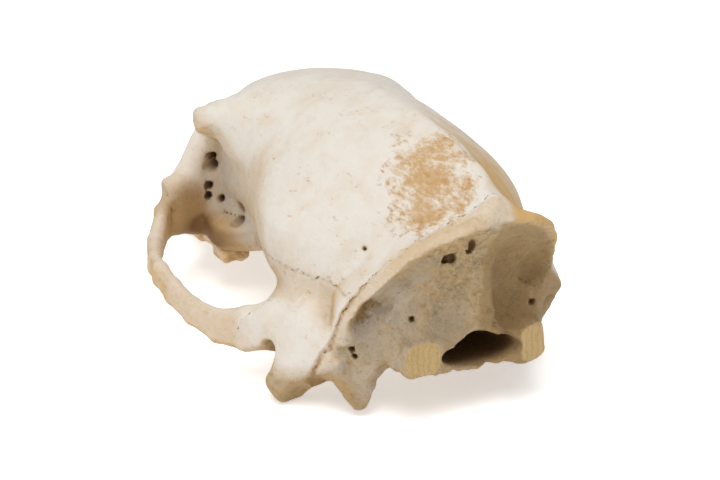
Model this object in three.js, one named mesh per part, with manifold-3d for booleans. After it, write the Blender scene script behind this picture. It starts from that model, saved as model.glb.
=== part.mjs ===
// Skull of a young bear, without its lower jaw, life size in millimetres.
// It stands on its processes and front teeth: +Z up, snout toward -Y, the animal's left toward +X.
import * as THREE from 'three';
import { mergeVertices } from 'three/addons/utils/BufferGeometryUtils.js';
import Module from 'manifold-3d';

const wasm = await Module();
wasm.setup();

// Gap left between two bones that meet at a suture.
const SUTURE = 0.3;
// Height of the surface that the skull stands on, in the skull's own measures.
const GROUND = -2.3;

// Sections of the braincase from the face to the crest: place, half width, top, underside,
// and how round its roof is (2 is an ellipse, less is a keel, more is a flat crown).
const BRAINCASE = [
  { y: -40, half: 14, top: 52, under: 26, roof: 2.2 },
  { y: -28, half: 20, top: 61, under: 24, roof: 2.4 },
  { y: -14, half: 25, top: 68, under: 22, roof: 2.8 },
  { y: 0, half: 28, top: 72.4, under: 18, roof: 2.6 },
  { y: 14, half: 32, top: 75, under: 16, roof: 1.9 },
  { y: 30, half: 38.2, top: 76, under: 13, roof: 1.47 },
  { y: 46, half: 40, top: 74.5, under: 12, roof: 1.35 },
  { y: 60, half: 34, top: 72, under: 11, roof: 1.4 },
  { y: 72, half: 26.8, top: 70, under: 12, roof: 1.4 },
  { y: 82, half: 19, top: 66.5, under: 14, roof: 1.42 },
  { y: 90, half: 13, top: 61.8, under: 17, roof: 1.5 },
  { y: 96, half: 8, top: 57, under: 22, roof: 1.6 },
];
const BRAINCASE_ROUNDNESS = 2.7;

// Sections of the nose and the wall between the orbits.
const NOSE = [
  { y: -93, half: 8, top: 17, under: 10.5 },
  { y: -90, half: 12, top: 25, under: 10.5 },
  { y: -85, half: 14.5, top: 33, under: 10.5 },
  { y: -76, half: 16, top: 38, under: 11 },
  { y: -62, half: 18, top: 44, under: 12 },
  { y: -46, half: 20, top: 51, under: 13 },
  { y: -30, half: 22, top: 60, under: 14 },
  { y: -8, half: 20, top: 64, under: 16 },
  { y: 14, half: 19, top: 58, under: 17 },
  { y: 30, half: 16, top: 50, under: 18 },
];
const NOSE_ROUNDNESS = 2.4;

// Sections of the upper jaw that carries the teeth.
const JAW = [
  { y: -92, half: 10, top: 18, under: 10.5 },
  { y: -84, half: 18, top: 22, under: 10.5 },
  { y: -72, half: 17.5, top: 24, under: 11 },
  { y: -56, half: 20, top: 26, under: 12 },
  { y: -40, half: 26, top: 28, under: 13 },
  { y: -26, half: 30.2, top: 26, under: 11.5 },
  { y: -17, half: 29, top: 24, under: 12 },
  { y: -6, half: 18, top: 24, under: 16 },
];
const JAW_ROUNDNESS = 3.1;

// Sections of the skull base.
const BASE = [
  { y: -2, half: 15, top: 40, under: 16 },
  { y: 20, half: 17, top: 40, under: 13 },
  { y: 40, half: 25, top: 40, under: 11.5 },
  { y: 60, half: 31, top: 40, under: 11 },
  { y: 74, half: 27, top: 38, under: 11 },
  { y: 84, half: 22, top: 36, under: 11 },
  { y: 91, half: 16, top: 30, under: 11.8 },
];
const BASE_ROUNDNESS = 3;

// Crest along the back of each side, from the middle out to the mastoid process: x, y, z, radius.
const CREST_LEFT = [
  [0, 95, 57, 2.2], [9.2, 99.5, 55, 2.2], [16.4, 95.6, 51.3, 2.1], [21, 91.4, 46.5, 2.1],
  [25, 86.3, 40.5, 2.2], [28.5, 80.5, 33, 2.4], [32, 78, 28, 2.6], [33.5, 74.5, 20.5, 3],
  [35.5, 69, 13.5, 4], [39.5, 64.5, 8, 5.5],
];
const CREST_RIGHT = [
  [0, 95, 57, 2.2], [9.2, 99.5, 55, 2.2], [16.4, 95.6, 51.3, 2.2], [20, 91.4, 46.5, 2.2],
  [22, 86.3, 40.5, 2], [24, 81.5, 33.5, 2], [31.8, 79.4, 27.2, 2.2], [31.4, 75, 21, 2.4],
  [30, 69, 13.5, 3.2], [32.4, 64.5, 8, 4],
];
// Bone in front of the crest that carries it: x, y, z, radius.
const CREST_BED_LEFT = [
  [0, 88, 53, 6], [9, 92, 50, 6], [17, 88, 45, 6], [23, 81, 36, 7], [28, 75, 28, 7],
];
const CREST_BED_RIGHT = [
  [0, 88, 53, 6], [9, 92, 50, 6], [16, 88, 45, 6], [18, 81, 36, 6.2], [23, 74, 28, 6.6],
];
// Hollow below the crest on each side of the back: x, y, z, radius.
const NAPE_HOLLOW_LEFT = [
  [11, 99.5, 45, 6], [15.5, 97.5, 41, 7], [20, 93, 34.5, 7], [22.5, 90.5, 28, 6],
];
const NAPE_HOLLOW_RIGHT = [
  [8, 99.5, 46, 6.6], [10, 97, 41, 8.6], [12, 94.2, 35, 8.8], [13, 92.5, 28, 7.5],
];
// Grooves that thin the crest from below: x, y, z, radius.
const GROOVE_LEFT = [
  [8, 101.8, 50.8, 4.6], [15.6, 98.2, 47.4, 4.8], [20.4, 93.6, 42.6, 4.8],
  [24, 89, 36.8, 4.6], [28.4, 83.6, 30, 4.2], [31.4, 81.4, 24.6, 3.6],
];
const GROOVE_RIGHT = [
  [8, 101.8, 50.4, 4.6], [15, 98, 47, 4.8], [18, 93.6, 42, 4.6], [19.5, 89, 36, 4.6],
];
// Rim of the orbit from the forehead down to the cheek.
const ORBIT_RIM = [
  [28.5, -20, 60, 3], [25, -31, 56, 4], [24, -37, 48, 4.5], [29, -37, 40, 4.5], [35, -34, 33, 4],
];
// Ridge down the middle of the back of the skull.
const NAPE_RIDGE = [
  [0, 94.2, 54, 1.8], [0, 90.2, 45, 1.6], [0, 89, 37, 1.6], [0, 88.6, 24, 1.6],
];
// Vault of the palate.
const PALATE = [
  [0, -84, 4, 9], [0, -60, 4, 12], [0, -20, 4, 13.5], [0, 0, 6, 13],
];
// Root of the cheek arch on the jaw: x, y, z, half height, radius.
const CHEEK_ROOT = [
  [22, -37, 25, 8, 4], [32, -35, 26.4, 6.9, 3.5], [39, -31, 26.6, 6.4, 2.8],
];
// Cheek arch from the jaw back to the temple: x, y, z, half height, half thickness.
const ARCH = [
  [31, -34, 26.4, 7, 2.8], [39, -31, 26.8, 8.4, 2.8], [45.2, -27, 23, 6.2, 2.4], [52.6, -14, 20, 4.3, 2.2],
  [58.4, 0, 20.2, 3.7, 2.1], [60.1, 9, 20, 3.7, 2.1], [59.8, 18, 17.8, 3.8, 2.1], [58, 28, 15, 4.2, 2.2],
  [54.4, 37.6, 13.2, 4.9, 2.4], [49, 46, 14.6, 6.8, 3], [43, 53, 17, 7, 4], [37, 57, 18, 6, 4],
];

// Single bones: centre and half sizes, or the two ends of a process with its radii.
const NAPE = { at: [0, 79, 33], size: [27, 13, 21] };
const FOREHEAD = { at: [0, -6, 60], size: [29, 26, 11] };
const TEAR_BONE = { at: [23, -39.5, 39], size: [6, 4.5, 10] };
const SHELF = { at: [36, 54, 18], size: [11, 12, 7] };
const CONDYLE_LEFT = { at: [18.4, 87.5, 17.5], size: [5.2, 6, 4.8] };
const CONDYLE_RIGHT = { at: [16.2, 88, 17], size: [4.8, 6, 6.2] };
const BULLA = { at: [20, 58, 12], size: [9, 12, 5] };
const BROW_LEFT = { from: [22, -6, 61], to: [36.5, -12.5, 59.5], radii: [7, 4.2] };
const BROW_RIGHT = { from: [22, -6, 60], to: [34, -12.5, 57.5], radii: [7, 4] };
const MASTOID_LEFT = { from: [36, 63, 18], to: [43.5, 61.5, 3.6], radii: [8, 6] };
const MASTOID_RIGHT = { from: [32, 62, 18], to: [32.5, 61.5, 2.1], radii: [7.5, 4.6] };
const PAROCCIPITAL_LEFT = { from: [27, 76, 16], to: [29.6, 78.6, 1], radii: [6.5, 2.2] };
const PAROCCIPITAL_RIGHT = { from: [24, 76, 17], to: [25, 78, 12], radii: [6, 3.5] };
// Sheet of bone from the left paroccipital process to the mastoid process.
const PAROCCIPITAL_SHEET = { from: [34, 73, 12], to: [29.6, 78.6, 1], radii: [4.5, 2.2] };
const PTERYGOID = { from: [10, 2, 15], to: [11, 24, 11], radii: [3, 3] };
// Hollows: the opening for the spinal cord with its peak, and the nose.
const SPINAL = { at: [0, 96, 16.8], size: [12.6, 30, 4.3] };
const SPINAL_PEAK = { at: [1, 96, 18], size: [6.5, 30, 4.6] };
const NASAL = { at: [0, -92, 24], size: [9.6, 24, 9.4] };
// Height of the seam between the nape plate and the ring round the spinal opening.
const RING_TOP = 24.5;

// Upper cheek teeth: place, length, width and depth of each crown.
const CHEEK_TEETH = [
  { x: 23, y: -22.5, length: 11.5, width: 10.5, crown: 2.9 },
  { x: 21.4, y: -35.5, length: 12, width: 9.2, crown: 3.4 },
  { x: 21.5, y: -48.5, length: 9.5, width: 7.5, crown: 6 },
  { x: 18.8, y: -57, length: 4.5, width: 3.6, crown: 3 },
  { x: 17.6, y: -65, length: 4.2, width: 3.4, crown: 2.8 },
  { x: 17, y: -74, length: 4, width: 3.4, crown: 3 },
];
// Depth of a tooth in its socket, the canine, and the front teeth of one side on their arc.
const TOOTH_ROOT = 4;
const CANINE = { x: 15.4, y: -82.5, z: 17, radius: 4.2, length: 19.6, sweep: 3 };
const INCISORS = 3;
const INCISOR = { width: 4.4, depth: 4, length: 9.5, top: 15, arcX: 10.6, arcY: 6.5, y: -84.5 };

// Fineness of the wrapped surface.
const ROUND = 36;
const ALONG = 28;
const ENDS = 11;
// Depth to which a ridge's edge runs into the bone beside it.
const SINK = 0.7;

/** Smooth union of two distances, blended over a width. */
function blend(a, b, width) {
  const h = Math.max(width - Math.abs(a - b), 0) / width;
  return Math.min(a, b) - h * h * width * 0.25;
}

/** Smooth cut of one distance by another. */
function carve(a, b, width) {
  return -blend(-a, b, width);
}

/** Distance to an ellipsoid. */
function ovoid(p, { at, size }) {
  const q = p.map((v, i) => (v - at[i]) / size[i]);
  const k0 = Math.hypot(...q);
  const k1 = Math.hypot(...q.map((v, i) => v / size[i])) + 1e-9;
  return (k0 * (k0 - 1)) / k1;
}

/** Distance to a rounded cone between two points. */
function prong(p, { from, to, radii }) {
  const d = to.map((v, i) => v - from[i]);
  const q = p.map((v, i) => v - from[i]);
  const len2 = d[0] * d[0] + d[1] * d[1] + d[2] * d[2];
  const t = THREE.MathUtils.clamp((q[0] * d[0] + q[1] * d[1] + q[2] * d[2]) / len2, 0, 1);
  const gap = Math.hypot(q[0] - t * d[0], q[1] - t * d[1], q[2] - t * d[2]);
  return gap - THREE.MathUtils.lerp(radii[0], radii[1], t);
}

/** Distance to a ridge that follows a row of points, each with its radius. */
function ridge(p, row) {
  let best = Infinity;
  for (let i = 0; i + 1 < row.length; i += 1) {
    const [a, b] = [row[i], row[i + 1]];
    const piece = { from: a.slice(0, 3), to: b.slice(0, 3), radii: [a[3], b[3]] };
    best = Math.min(best, prong(p, piece));
  }
  return best;
}

/** Distance to an upright band along a row of points: x, y, z, half height, radius. */
function band(p, row) {
  let best = Infinity;
  for (let i = 0; i + 1 < row.length; i += 1) {
    const [a, b] = [row[i], row[i + 1]];
    const [dx, dy] = [b[0] - a[0], b[1] - a[1]];
    const run = ((p[0] - a[0]) * dx + (p[1] - a[1]) * dy) / (dx * dx + dy * dy);
    const t = THREE.MathUtils.clamp(run, 0, 1);
    const c = a.map((v, k) => THREE.MathUtils.lerp(v, b[k], t));
    const dz = Math.max(Math.abs(p[2] - c[2]) - c[3], 0);
    const gap = Math.hypot(p[0] - c[0], p[1] - c[1], dz) - c[4];
    best = best === Infinity ? gap : blend(best, gap, 1.5);
  }
  return best;
}

/** Smooth value of one size along a list of sections. */
function along(sections, key, y) {
  const last = sections.length - 1;
  let i = 0;
  while (i < last - 1 && y > sections[i + 1].y) i += 1;
  const slope = (k) => {
    const [a, b] = [Math.max(k - 1, 0), Math.min(k + 1, last)];
    return (sections[b][key] - sections[a][key]) / (sections[b].y - sections[a].y);
  };
  const span = sections[i + 1].y - sections[i].y;
  const t = THREE.MathUtils.clamp((y - sections[i].y) / span, 0, 1);
  const [t2, t3] = [t * t, t * t * t];
  return (2 * t3 - 3 * t2 + 1) * sections[i][key] + (t3 - 2 * t2 + t) * span * slope(i)
    + (3 * t2 - 2 * t3) * sections[i + 1][key] + (t3 - t2) * span * slope(i + 1);
}

/** Distance to a body given by its sections. */
function hull(p, sections, roundness) {
  const [first, last] = [sections[0].y, sections[sections.length - 1].y];
  const y = THREE.MathUtils.clamp(p[1], first, last);
  const half = along(sections, 'half', y);
  const top = along(sections, 'top', y);
  const under = along(sections, 'under', y);
  const tall = (top - under) / 2;
  const u = Math.abs(p[0]) / half;
  const v = (p[2] - (top + under) / 2) / tall;
  const n = v > 0 && 'roof' in sections[0] ? along(sections, 'roof', y) : roundness;
  const across = ((u ** n + Math.abs(v) ** n) ** (1 / n) - 1) * Math.min(half, tall);
  const beyond = Math.abs(p[1] - y);
  return beyond > 0 ? Math.hypot(Math.max(across, 0), beyond) : across;
}

/** Distance to the broad masses of the skull, before its ridges and processes. */
function skullMass(x, y, z) {
  const p = [Math.abs(x), y, z];
  const left = x > 0;
  let d = hull(p, BRAINCASE, BRAINCASE_ROUNDNESS);
  d = blend(d, hull(p, NOSE, NOSE_ROUNDNESS), 6);
  d = blend(d, hull(p, JAW, JAW_ROUNDNESS), 5);
  d = blend(d, hull(p, BASE, BASE_ROUNDNESS), 8);
  d = blend(d, ovoid(p, NAPE), 7);
  d = blend(d, ovoid(p, FOREHEAD), 10);
  d = blend(d, ovoid(p, TEAR_BONE), 4);
  d = blend(d, ovoid(p, SHELF), 8);
  d = blend(d, ovoid(p, BULLA), 3);
  d = blend(d, ridge(p, left ? CREST_BED_LEFT : CREST_BED_RIGHT), 6);
  d = carve(d, ridge(p, left ? NAPE_HOLLOW_LEFT : NAPE_HOLLOW_RIGHT), 4);
  return carve(d, ridge(p, PALATE), 3);
}

/** Distance to the finished bone of one side, its ridges and processes blended in. */
function skullBone(x, y, z) {
  const p = [Math.abs(x), y, z];
  const left = x > 0;
  let d = skullMass(x, y, z);
  d = blend(d, prong(p, left ? BROW_LEFT : BROW_RIGHT), 6);
  d = blend(d, ridge(p, ORBIT_RIM), 5);
  d = blend(d, band(p, CHEEK_ROOT), 4);
  d = blend(d, prong(p, PTERYGOID), 3);
  d = blend(d, prong(p, left ? MASTOID_LEFT : MASTOID_RIGHT), 6);
  d = blend(d, ridge(p, left ? CREST_LEFT : CREST_RIGHT), 5);
  d = blend(d, prong(p, left ? PAROCCIPITAL_LEFT : PAROCCIPITAL_RIGHT), 5);
  if (left) d = blend(d, prong(p, PAROCCIPITAL_SHEET), 3);
  d = blend(d, ovoid(p, left ? CONDYLE_LEFT : CONDYLE_RIGHT), 4);
  return blend(d, ridge(p, NAPE_RIDGE), 3);
}

/** Turns a closed three.js geometry into a solid that can be joined and cut. */
function solid(geometry) {
  const bare = geometry.clone();
  bare.deleteAttribute('normal');
  bare.deleteAttribute('uv');
  const merged = mergeVertices(bare, 1e-4);
  const index = Array.from(merged.index.array);
  const kept = [];
  for (let i = 0; i < index.length; i += 3) {
    const [a, b, c] = index.slice(i, i + 3);
    if (a !== b && b !== c && a !== c) kept.push(a, b, c);
  }
  const vertProperties = new Float32Array(merged.attributes.position.array);
  return new wasm.Manifold(new wasm.Mesh({ numProp: 3, vertProperties, triVerts: new Uint32Array(kept) }));
}

/** Moves every vertex of a geometry through a function of its position. */
function remap(geometry, move) {
  const position = geometry.attributes.position;
  const v = new THREE.Vector3();
  for (let i = 0; i < position.count; i += 1) {
    v.fromBufferAttribute(position, i);
    move(v);
    position.setXYZ(i, v.x, v.y, v.z);
  }
  return geometry;
}

/** Narrows a place on a ray down to the surface between an inner and an outer distance. */
function settle(bone, inside, outside) {
  let [low, high] = [inside, outside];
  for (let i = 0; i < 16; i += 1) {
    const middle = (low + high) / 2;
    if (bone(middle) > 0) high = middle;
    else low = middle;
  }
  return low;
}

/** The skull's body: a capsule along the skull drawn in onto its broad masses. */
function makeBody() {
  const rear = new THREE.Vector3(0, 60, 40);
  const front = new THREE.Vector3(0, -68, 25);
  const reach = rear.y - front.y;
  const shape = new THREE.CapsuleGeometry(1, reach, ENDS, ROUND, ALONG);
  return solid(remap(shape, (v) => {
    const axis = THREE.MathUtils.clamp(v.y, -reach / 2, reach / 2);
    const way = new THREE.Vector3(v.x, v.y - axis, v.z).normalize();
    const origin = front.clone().lerp(rear, axis / reach + 0.5);
    const mass = (r) => skullMass(origin.x + way.x * r, origin.y + way.y * r, origin.z + way.z * r);
    let outside = 78;
    while (outside > 2 && mass(outside - 1) > 0) outside -= 1;
    v.copy(origin).addScaledVector(way, settle(mass, outside - 1, outside));
  }));
}

/** A ridge or process: a capsule along a row of points swollen until it meets the bone's surface. */
function makeProcess(row, side, limit, steps, sides) {
  const spine = new THREE.CatmullRomCurve3(row.map(([x, y, z]) => new THREE.Vector3(x * side, y, z)));
  const shape = new THREE.CapsuleGeometry(1, 2, 3, sides, steps);
  return solid(remap(shape, (v) => {
    const axis = THREE.MathUtils.clamp(v.y, -1, 1);
    const at = spine.getPoint((axis + 1) / 2);
    const run = spine.getTangent((axis + 1) / 2);
    const across = new THREE.Vector3(0, 0, 1).cross(run);
    if (across.length() < 0.2) across.set(1, 0, 0);
    across.addScaledVector(run, -across.dot(run)).normalize();
    const third = across.clone().cross(run);
    const way = across.multiplyScalar(v.x).addScaledVector(run, v.y - axis).addScaledVector(third, v.z);
    way.normalize();
    const bone = (r) => skullBone(at.x + way.x * r, at.y + way.y * r, at.z + way.z * r);
    let reach = 0.3;
    while (reach < limit && bone(reach) < 0) reach += 0.3;
    const met = settle(bone, Math.max(reach - 0.3, 0.2), reach);
    v.copy(at).addScaledVector(way, met);
    const proud = THREE.MathUtils.clamp(skullMass(v.x, v.y, v.z) / SINK, 0, 1);
    v.copy(at).addScaledVector(way, Math.max(met - SINK * (1 - proud), 0.2));
  }));
}

/** Every ridge and process of one side. */
function makeProcesses(side) {
  const left = side > 0;
  const mastoid = left ? MASTOID_LEFT : MASTOID_RIGHT;
  const paroccipital = left ? PAROCCIPITAL_LEFT : PAROCCIPITAL_RIGHT;
  const brow = left ? BROW_LEFT : BROW_RIGHT;
  const [cx, cy, cz] = (left ? CONDYLE_LEFT : CONDYLE_RIGHT).at;
  const processes = [
    makeProcess([brow.from, brow.to], side, 9, 4, 10),
    makeProcess(ORBIT_RIM, side, 7, 12, 8),
    makeProcess(CHEEK_ROOT, side, 12, 5, 10),
    makeProcess([PTERYGOID.from, PTERYGOID.to], side, 6, 4, 8),
    makeProcess([mastoid.from, mastoid.to], side, 12, 5, 12),
    makeProcess([paroccipital.from, paroccipital.to], side, 9, 6, 10),
    makeProcess([[cx, cy - 4, cz], [cx, cy, cz]], side, 9, 2, 10),
    makeProcess(left ? CREST_LEFT : CREST_RIGHT, side, 6, 26, 8),
  ];
  if (left) processes.push(makeProcess([PAROCCIPITAL_SHEET.from, PAROCCIPITAL_SHEET.to], side, 8, 6, 10));
  return processes;
}

/** One cheek arch, its ends sunk in the jaw and the temple. */
function makeArch(side) {
  const spine = new THREE.CatmullRomCurve3(ARCH.map(([x, y, z]) => new THREE.Vector3(x * side, y, z)));
  const shape = new THREE.CylinderGeometry(1, 1, 1, 10, 28);
  return solid(remap(shape, (v) => {
    const t = THREE.MathUtils.clamp(v.y + 0.5, 0, 1);
    const at = spine.getPoint(t);
    const run = spine.getTangent(t).setZ(0).normalize();
    const k = Math.min(t * (ARCH.length - 1), ARCH.length - 1.001);
    const [a, b] = [ARCH[Math.floor(k)], ARCH[Math.floor(k) + 1]];
    const tall = THREE.MathUtils.lerp(a[3], b[3], k % 1);
    const thick = THREE.MathUtils.lerp(a[4], b[4], k % 1);
    const across = v.x * thick;
    v.set(at.x + run.y * across, at.y - run.x * across, at.z + v.z * tall);
  }));
}

/** Crown and root of one cheek tooth: a rounded block with a low ridge around its worn face. */
function makeCheekTooth({ x, y, length, width, crown }, side, top) {
  const shape = new THREE.SphereGeometry(1, 10, 7);
  const square = (v) => Math.sign(v) * Math.abs(v) ** 0.55;
  const tall = (crown + TOOTH_ROOT) / 2;
  return solid(remap(shape, (v) => {
    const dip = v.z < -0.4 ? 0.14 * (1 - v.x * v.x - v.y * v.y) : 0;
    v.set(
      x * side + square(v.x) * width * 0.5,
      y + square(v.y) * length * 0.5,
      top - crown + tall + (square(v.z) + dip) * tall,
    );
  }));
}

/** One canine tooth: a cone that bends back toward its tip. */
function makeCanine(side) {
  const profile = [[0, 0], [0.72, 0.01], [0.95, 0.18], [1, 0.4], [0.82, 0.7], [0.45, 0.93], [0, 1]];
  const shape = new THREE.LatheGeometry(profile.map(([r, t]) => new THREE.Vector2(r, t)), 12);
  return solid(remap(shape, (v) => {
    const t = v.y;
    v.set(
      side * (CANINE.x + t * 0.8) + v.x * CANINE.radius * 0.8,
      CANINE.y - CANINE.sweep * Math.sin(t * 2.2) * 0.7 + v.z * CANINE.radius,
      CANINE.z - t * CANINE.length,
    );
  }));
}

/** One front tooth: a small chisel. */
function makeIncisor(side, index) {
  const turn = ((index + 0.5) / INCISORS) * 1.15;
  const shape = new THREE.SphereGeometry(1, 8, 6);
  const grow = 1 + index * 0.12;
  return solid(remap(shape, (v) => {
    const thin = v.z < 0 ? 1 + v.z * 0.45 : 1;
    v.set(
      side * Math.sin(turn) * INCISOR.arcX + v.x * INCISOR.width * 0.5 * grow,
      INCISOR.y - Math.cos(turn) * INCISOR.arcY + v.y * INCISOR.depth * 0.5 * thin,
      INCISOR.top - INCISOR.length * grow * 0.5 + v.z * INCISOR.length * grow * 0.5,
    );
  }));
}

/** A hollow in the shape of an ellipsoid. */
function makeHollow({ at, size }) {
  const shape = new THREE.SphereGeometry(1, 16, 12);
  shape.scale(size[0], size[1], size[2]);
  shape.translate(at[0], at[1], at[2]);
  return solid(shape);
}

/** A rounded groove that follows a row of points, each with its radius. */
function makeGroove(row, side) {
  const spine = new THREE.CatmullRomCurve3(row.map(([x, y, z]) => new THREE.Vector3(x * side, y, z)));
  const shape = new THREE.CapsuleGeometry(1, 2, 3, 12, 10);
  return solid(remap(shape, (v) => {
    const axis = THREE.MathUtils.clamp(v.y, -1, 1);
    const t = (axis + 1) / 2;
    const run = spine.getTangent(t);
    const across = new THREE.Vector3(0, 0, 1).cross(run).normalize();
    const third = across.clone().cross(run);
    const k = Math.min(t * (row.length - 1), row.length - 1.001);
    const [a, b] = [row[Math.floor(k)], row[Math.floor(k) + 1]];
    const radius = THREE.MathUtils.lerp(a[3], b[3], k % 1);
    const way = across.multiplyScalar(v.x).addScaledVector(run, v.y - axis).addScaledVector(third, v.z);
    v.copy(spine.getPoint(t)).addScaledVector(way, radius);
  }));
}

/** A cutting block between two corners, turned about the x axis through its near lower edge. */
function block(low, high, tilt = 0, grow = 0) {
  const size = high.map((v, i) => v - low[i] + 2 * grow);
  const shape = new THREE.BoxGeometry(...size);
  shape.translate(...high.map((v, i) => (v + low[i]) / 2));
  shape.translate(0, -low[1], -low[2]);
  shape.rotateX(tilt);
  shape.translate(0, low[1], low[2]);
  return solid(shape);
}

/** Keeps only the largest closed piece of a solid. */
function largest(shape) {
  return shape.decompose().reduce((a, b) => (a.volume() > b.volume() ? a : b));
}

/** The bone behind the crest. */
function napeBlock(grow) {
  return block([-80, 64, -12], [80, 150, 140], -0.33, grow);
}

/** The ring of bone round the spinal opening, with the condyles beside it. */
function ringBlock(grow) {
  return napeBlock(grow).intersect(block([-80, 40, -40], [80, 160, RING_TOP], 0, grow));
}

/** The temple and the mastoid process of one side. */
function templeBlock(side, grow) {
  const [inner, outer] = [26, 90];
  const low = [side > 0 ? inner : -outer, 33, -20];
  const high = [side > 0 ? outer : -inner, 100, 33];
  return block(low, high, 0, grow);
}

/** The free part of one cheek arch. */
function archBlock(side, grow) {
  const [inner, outer] = [42.5, 90];
  const low = [side > 0 ? inner : -outer, -60, -20];
  const high = [side > 0 ? outer : -inner, 46, 50];
  return block(low, high, 0, grow);
}

/** The snout with the tooth rows under the orbits. */
function snoutBlock(grow) {
  const face = block([-60, -150, -20], [60, -26, 120], 0, grow);
  const rows = block([-60, -120, -20], [60, -9, 24], 0, grow);
  return face.add(rows);
}

/** Geometry of a finished bone. */
function boneGeometry(shape) {
  const mesh = shape.getMesh();
  const geometry = new THREE.BufferGeometry();
  geometry.setAttribute('position', new THREE.BufferAttribute(new Float32Array(mesh.vertProperties), 3));
  geometry.setIndex(new THREE.BufferAttribute(new Uint32Array(mesh.triVerts), 1));
  geometry.computeVertexNormals();
  return geometry;
}

let skull = makeBody();
for (const side of [1, -1]) {
  skull = skull.add(makeArch(side));
  for (const piece of makeProcesses(side)) skull = skull.add(piece);
}
skull = skull.subtract(makeGroove(GROOVE_LEFT, 1)).subtract(makeGroove(GROOVE_RIGHT, -1));
skull = skull.add(makeProcess(NAPE_RIDGE, 1, 6, 10, 8));
for (const hollow of [SPINAL, SPINAL_PEAK, NASAL]) skull = skull.subtract(makeHollow(hollow));

/** Takes one bone out of the skull and leaves the gap of a suture around it. */
function take(region) {
  const bone = largest(skull.intersect(region(0)));
  skull = skull.subtract(region(SUTURE));
  return bone;
}

const bones = {};
bones.cheek_arch_left = take((grow) => archBlock(1, grow));
bones.cheek_arch_right = take((grow) => archBlock(-1, grow));
bones.occiput_base = take(ringBlock);
bones.occiput = take(napeBlock);
bones.temple_left = take((grow) => templeBlock(1, grow));
bones.temple_right = take((grow) => templeBlock(-1, grow));
bones.snout = take(snoutBlock);
bones.braincase = largest(skull);

for (const side of [1, -1]) {
  for (const tooth of CHEEK_TEETH) {
    const top = along(JAW, 'under', tooth.y);
    bones.snout = bones.snout.add(makeCheekTooth(tooth, side, top));
  }
  bones.snout = bones.snout.add(makeCanine(side));
  for (let i = 0; i < INCISORS; i += 1) bones.snout = bones.snout.add(makeIncisor(side, i));
}
bones.snout = largest(bones.snout);

const floorCut = block([-200, -200, -60], [200, 200, GROUND]);
const COLOURS = {
  braincase: 0xe6ded2,
  occiput: 0xcbb994,
  occiput_base: 0xcbb994,
  temple_left: 0xe2d8c8,
  temple_right: 0xd9cdb8,
  cheek_arch_left: 0xe0d3bd,
  cheek_arch_right: 0xe0d3bd,
  snout: 0xdccdb2,
};

const model = new THREE.Group();
const extent = new THREE.Box3();
for (const [name, shape] of Object.entries(bones)) {
  const geometry = boneGeometry(largest(shape.subtract(floorCut)));
  const material = new THREE.MeshStandardMaterial({ color: COLOURS[name], roughness: 0.72, metalness: 0 });
  const mesh = new THREE.Mesh(geometry, material);
  mesh.name = name;
  geometry.computeBoundingBox();
  extent.union(geometry.boundingBox);
  model.add(mesh);
}
const middle = extent.getCenter(new THREE.Vector3());
model.position.set(-middle.x, -middle.y, -extent.min.z);
model.updateMatrixWorld(true);

export default model;
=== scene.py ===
"""Dry skull of a young bear without its lower jaw, standing on its processes and front teeth."""
import logging
import math
from dataclasses import dataclass, field
from enum import Enum
from typing import Callable, Iterable, Sequence

import bmesh
import bpy
import numpy as np
from mathutils import Matrix, Vector


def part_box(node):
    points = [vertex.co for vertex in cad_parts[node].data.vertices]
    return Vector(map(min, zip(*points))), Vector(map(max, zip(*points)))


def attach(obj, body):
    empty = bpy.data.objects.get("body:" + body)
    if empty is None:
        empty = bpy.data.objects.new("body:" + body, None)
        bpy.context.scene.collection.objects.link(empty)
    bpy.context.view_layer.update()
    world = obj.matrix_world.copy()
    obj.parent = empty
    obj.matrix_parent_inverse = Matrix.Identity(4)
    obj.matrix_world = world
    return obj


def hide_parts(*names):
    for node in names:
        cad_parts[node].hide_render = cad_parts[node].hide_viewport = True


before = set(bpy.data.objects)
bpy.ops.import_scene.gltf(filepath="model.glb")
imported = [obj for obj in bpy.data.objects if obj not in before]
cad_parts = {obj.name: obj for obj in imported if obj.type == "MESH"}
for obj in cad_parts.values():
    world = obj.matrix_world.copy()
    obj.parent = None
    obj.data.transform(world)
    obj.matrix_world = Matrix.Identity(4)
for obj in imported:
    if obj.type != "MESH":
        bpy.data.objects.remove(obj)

LOG = logging.getLogger("skull")
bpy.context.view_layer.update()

MM = 0.001
# The skull's own measures are in millimetres from a point under the brain; this moves them into place.
PLACE = np.array([0.0, -3.934, 2.3])
GROUND = -2.3
# Size of a cell of the field, and the distance that an empty field starts from.
CELL = 0.75
FAR = 60.0

Point = tuple[float, float, float]
Grid = np.ndarray


class Side(Enum):
    """The animal's own left and right."""

    LEFT = 1.0
    RIGHT = -1.0


class Bone(Enum):
    """The bones that the sutures part, each named for its solid."""

    ARCH_LEFT = "cheek_arch_left"
    ARCH_RIGHT = "cheek_arch_right"
    OCCIPUT = "occiput"
    TEMPLE_LEFT = "temple_left"
    TEMPLE_RIGHT = "temple_right"
    SNOUT = "snout"
    BRAINCASE = "braincase"

    @property
    def nodes(self) -> tuple[str, ...]:
        """Solids that the bone takes the place of."""
        return (self.value, "occiput_base") if self is Bone.OCCIPUT else (self.value,)


def smooth_min(a: Grid, b: Grid, width: float) -> Grid:
    """Joins two distances with a fillet.

    Args:
        a: First distance.
        b: Second distance.
        width: Width of the fillet in millimetres.

    Returns:
        The joined distance.
    """
    h = np.maximum(width - np.abs(a - b), 0.0) / width
    return np.minimum(a, b) - h * h * (width * 0.25)


def smooth_step(low: float, high: float, value: Grid) -> Grid:
    """Rises smoothly from 0 at low to 1 at high.

    Args:
        low: Value where the step begins.
        high: Value where the step ends.
        value: Values to map.

    Returns:
        Numbers from 0 to 1.
    """
    t = np.clip((value - low) / (high - low), 0.0, 1.0)
    return t * t * (3.0 - 2.0 * t)


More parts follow.
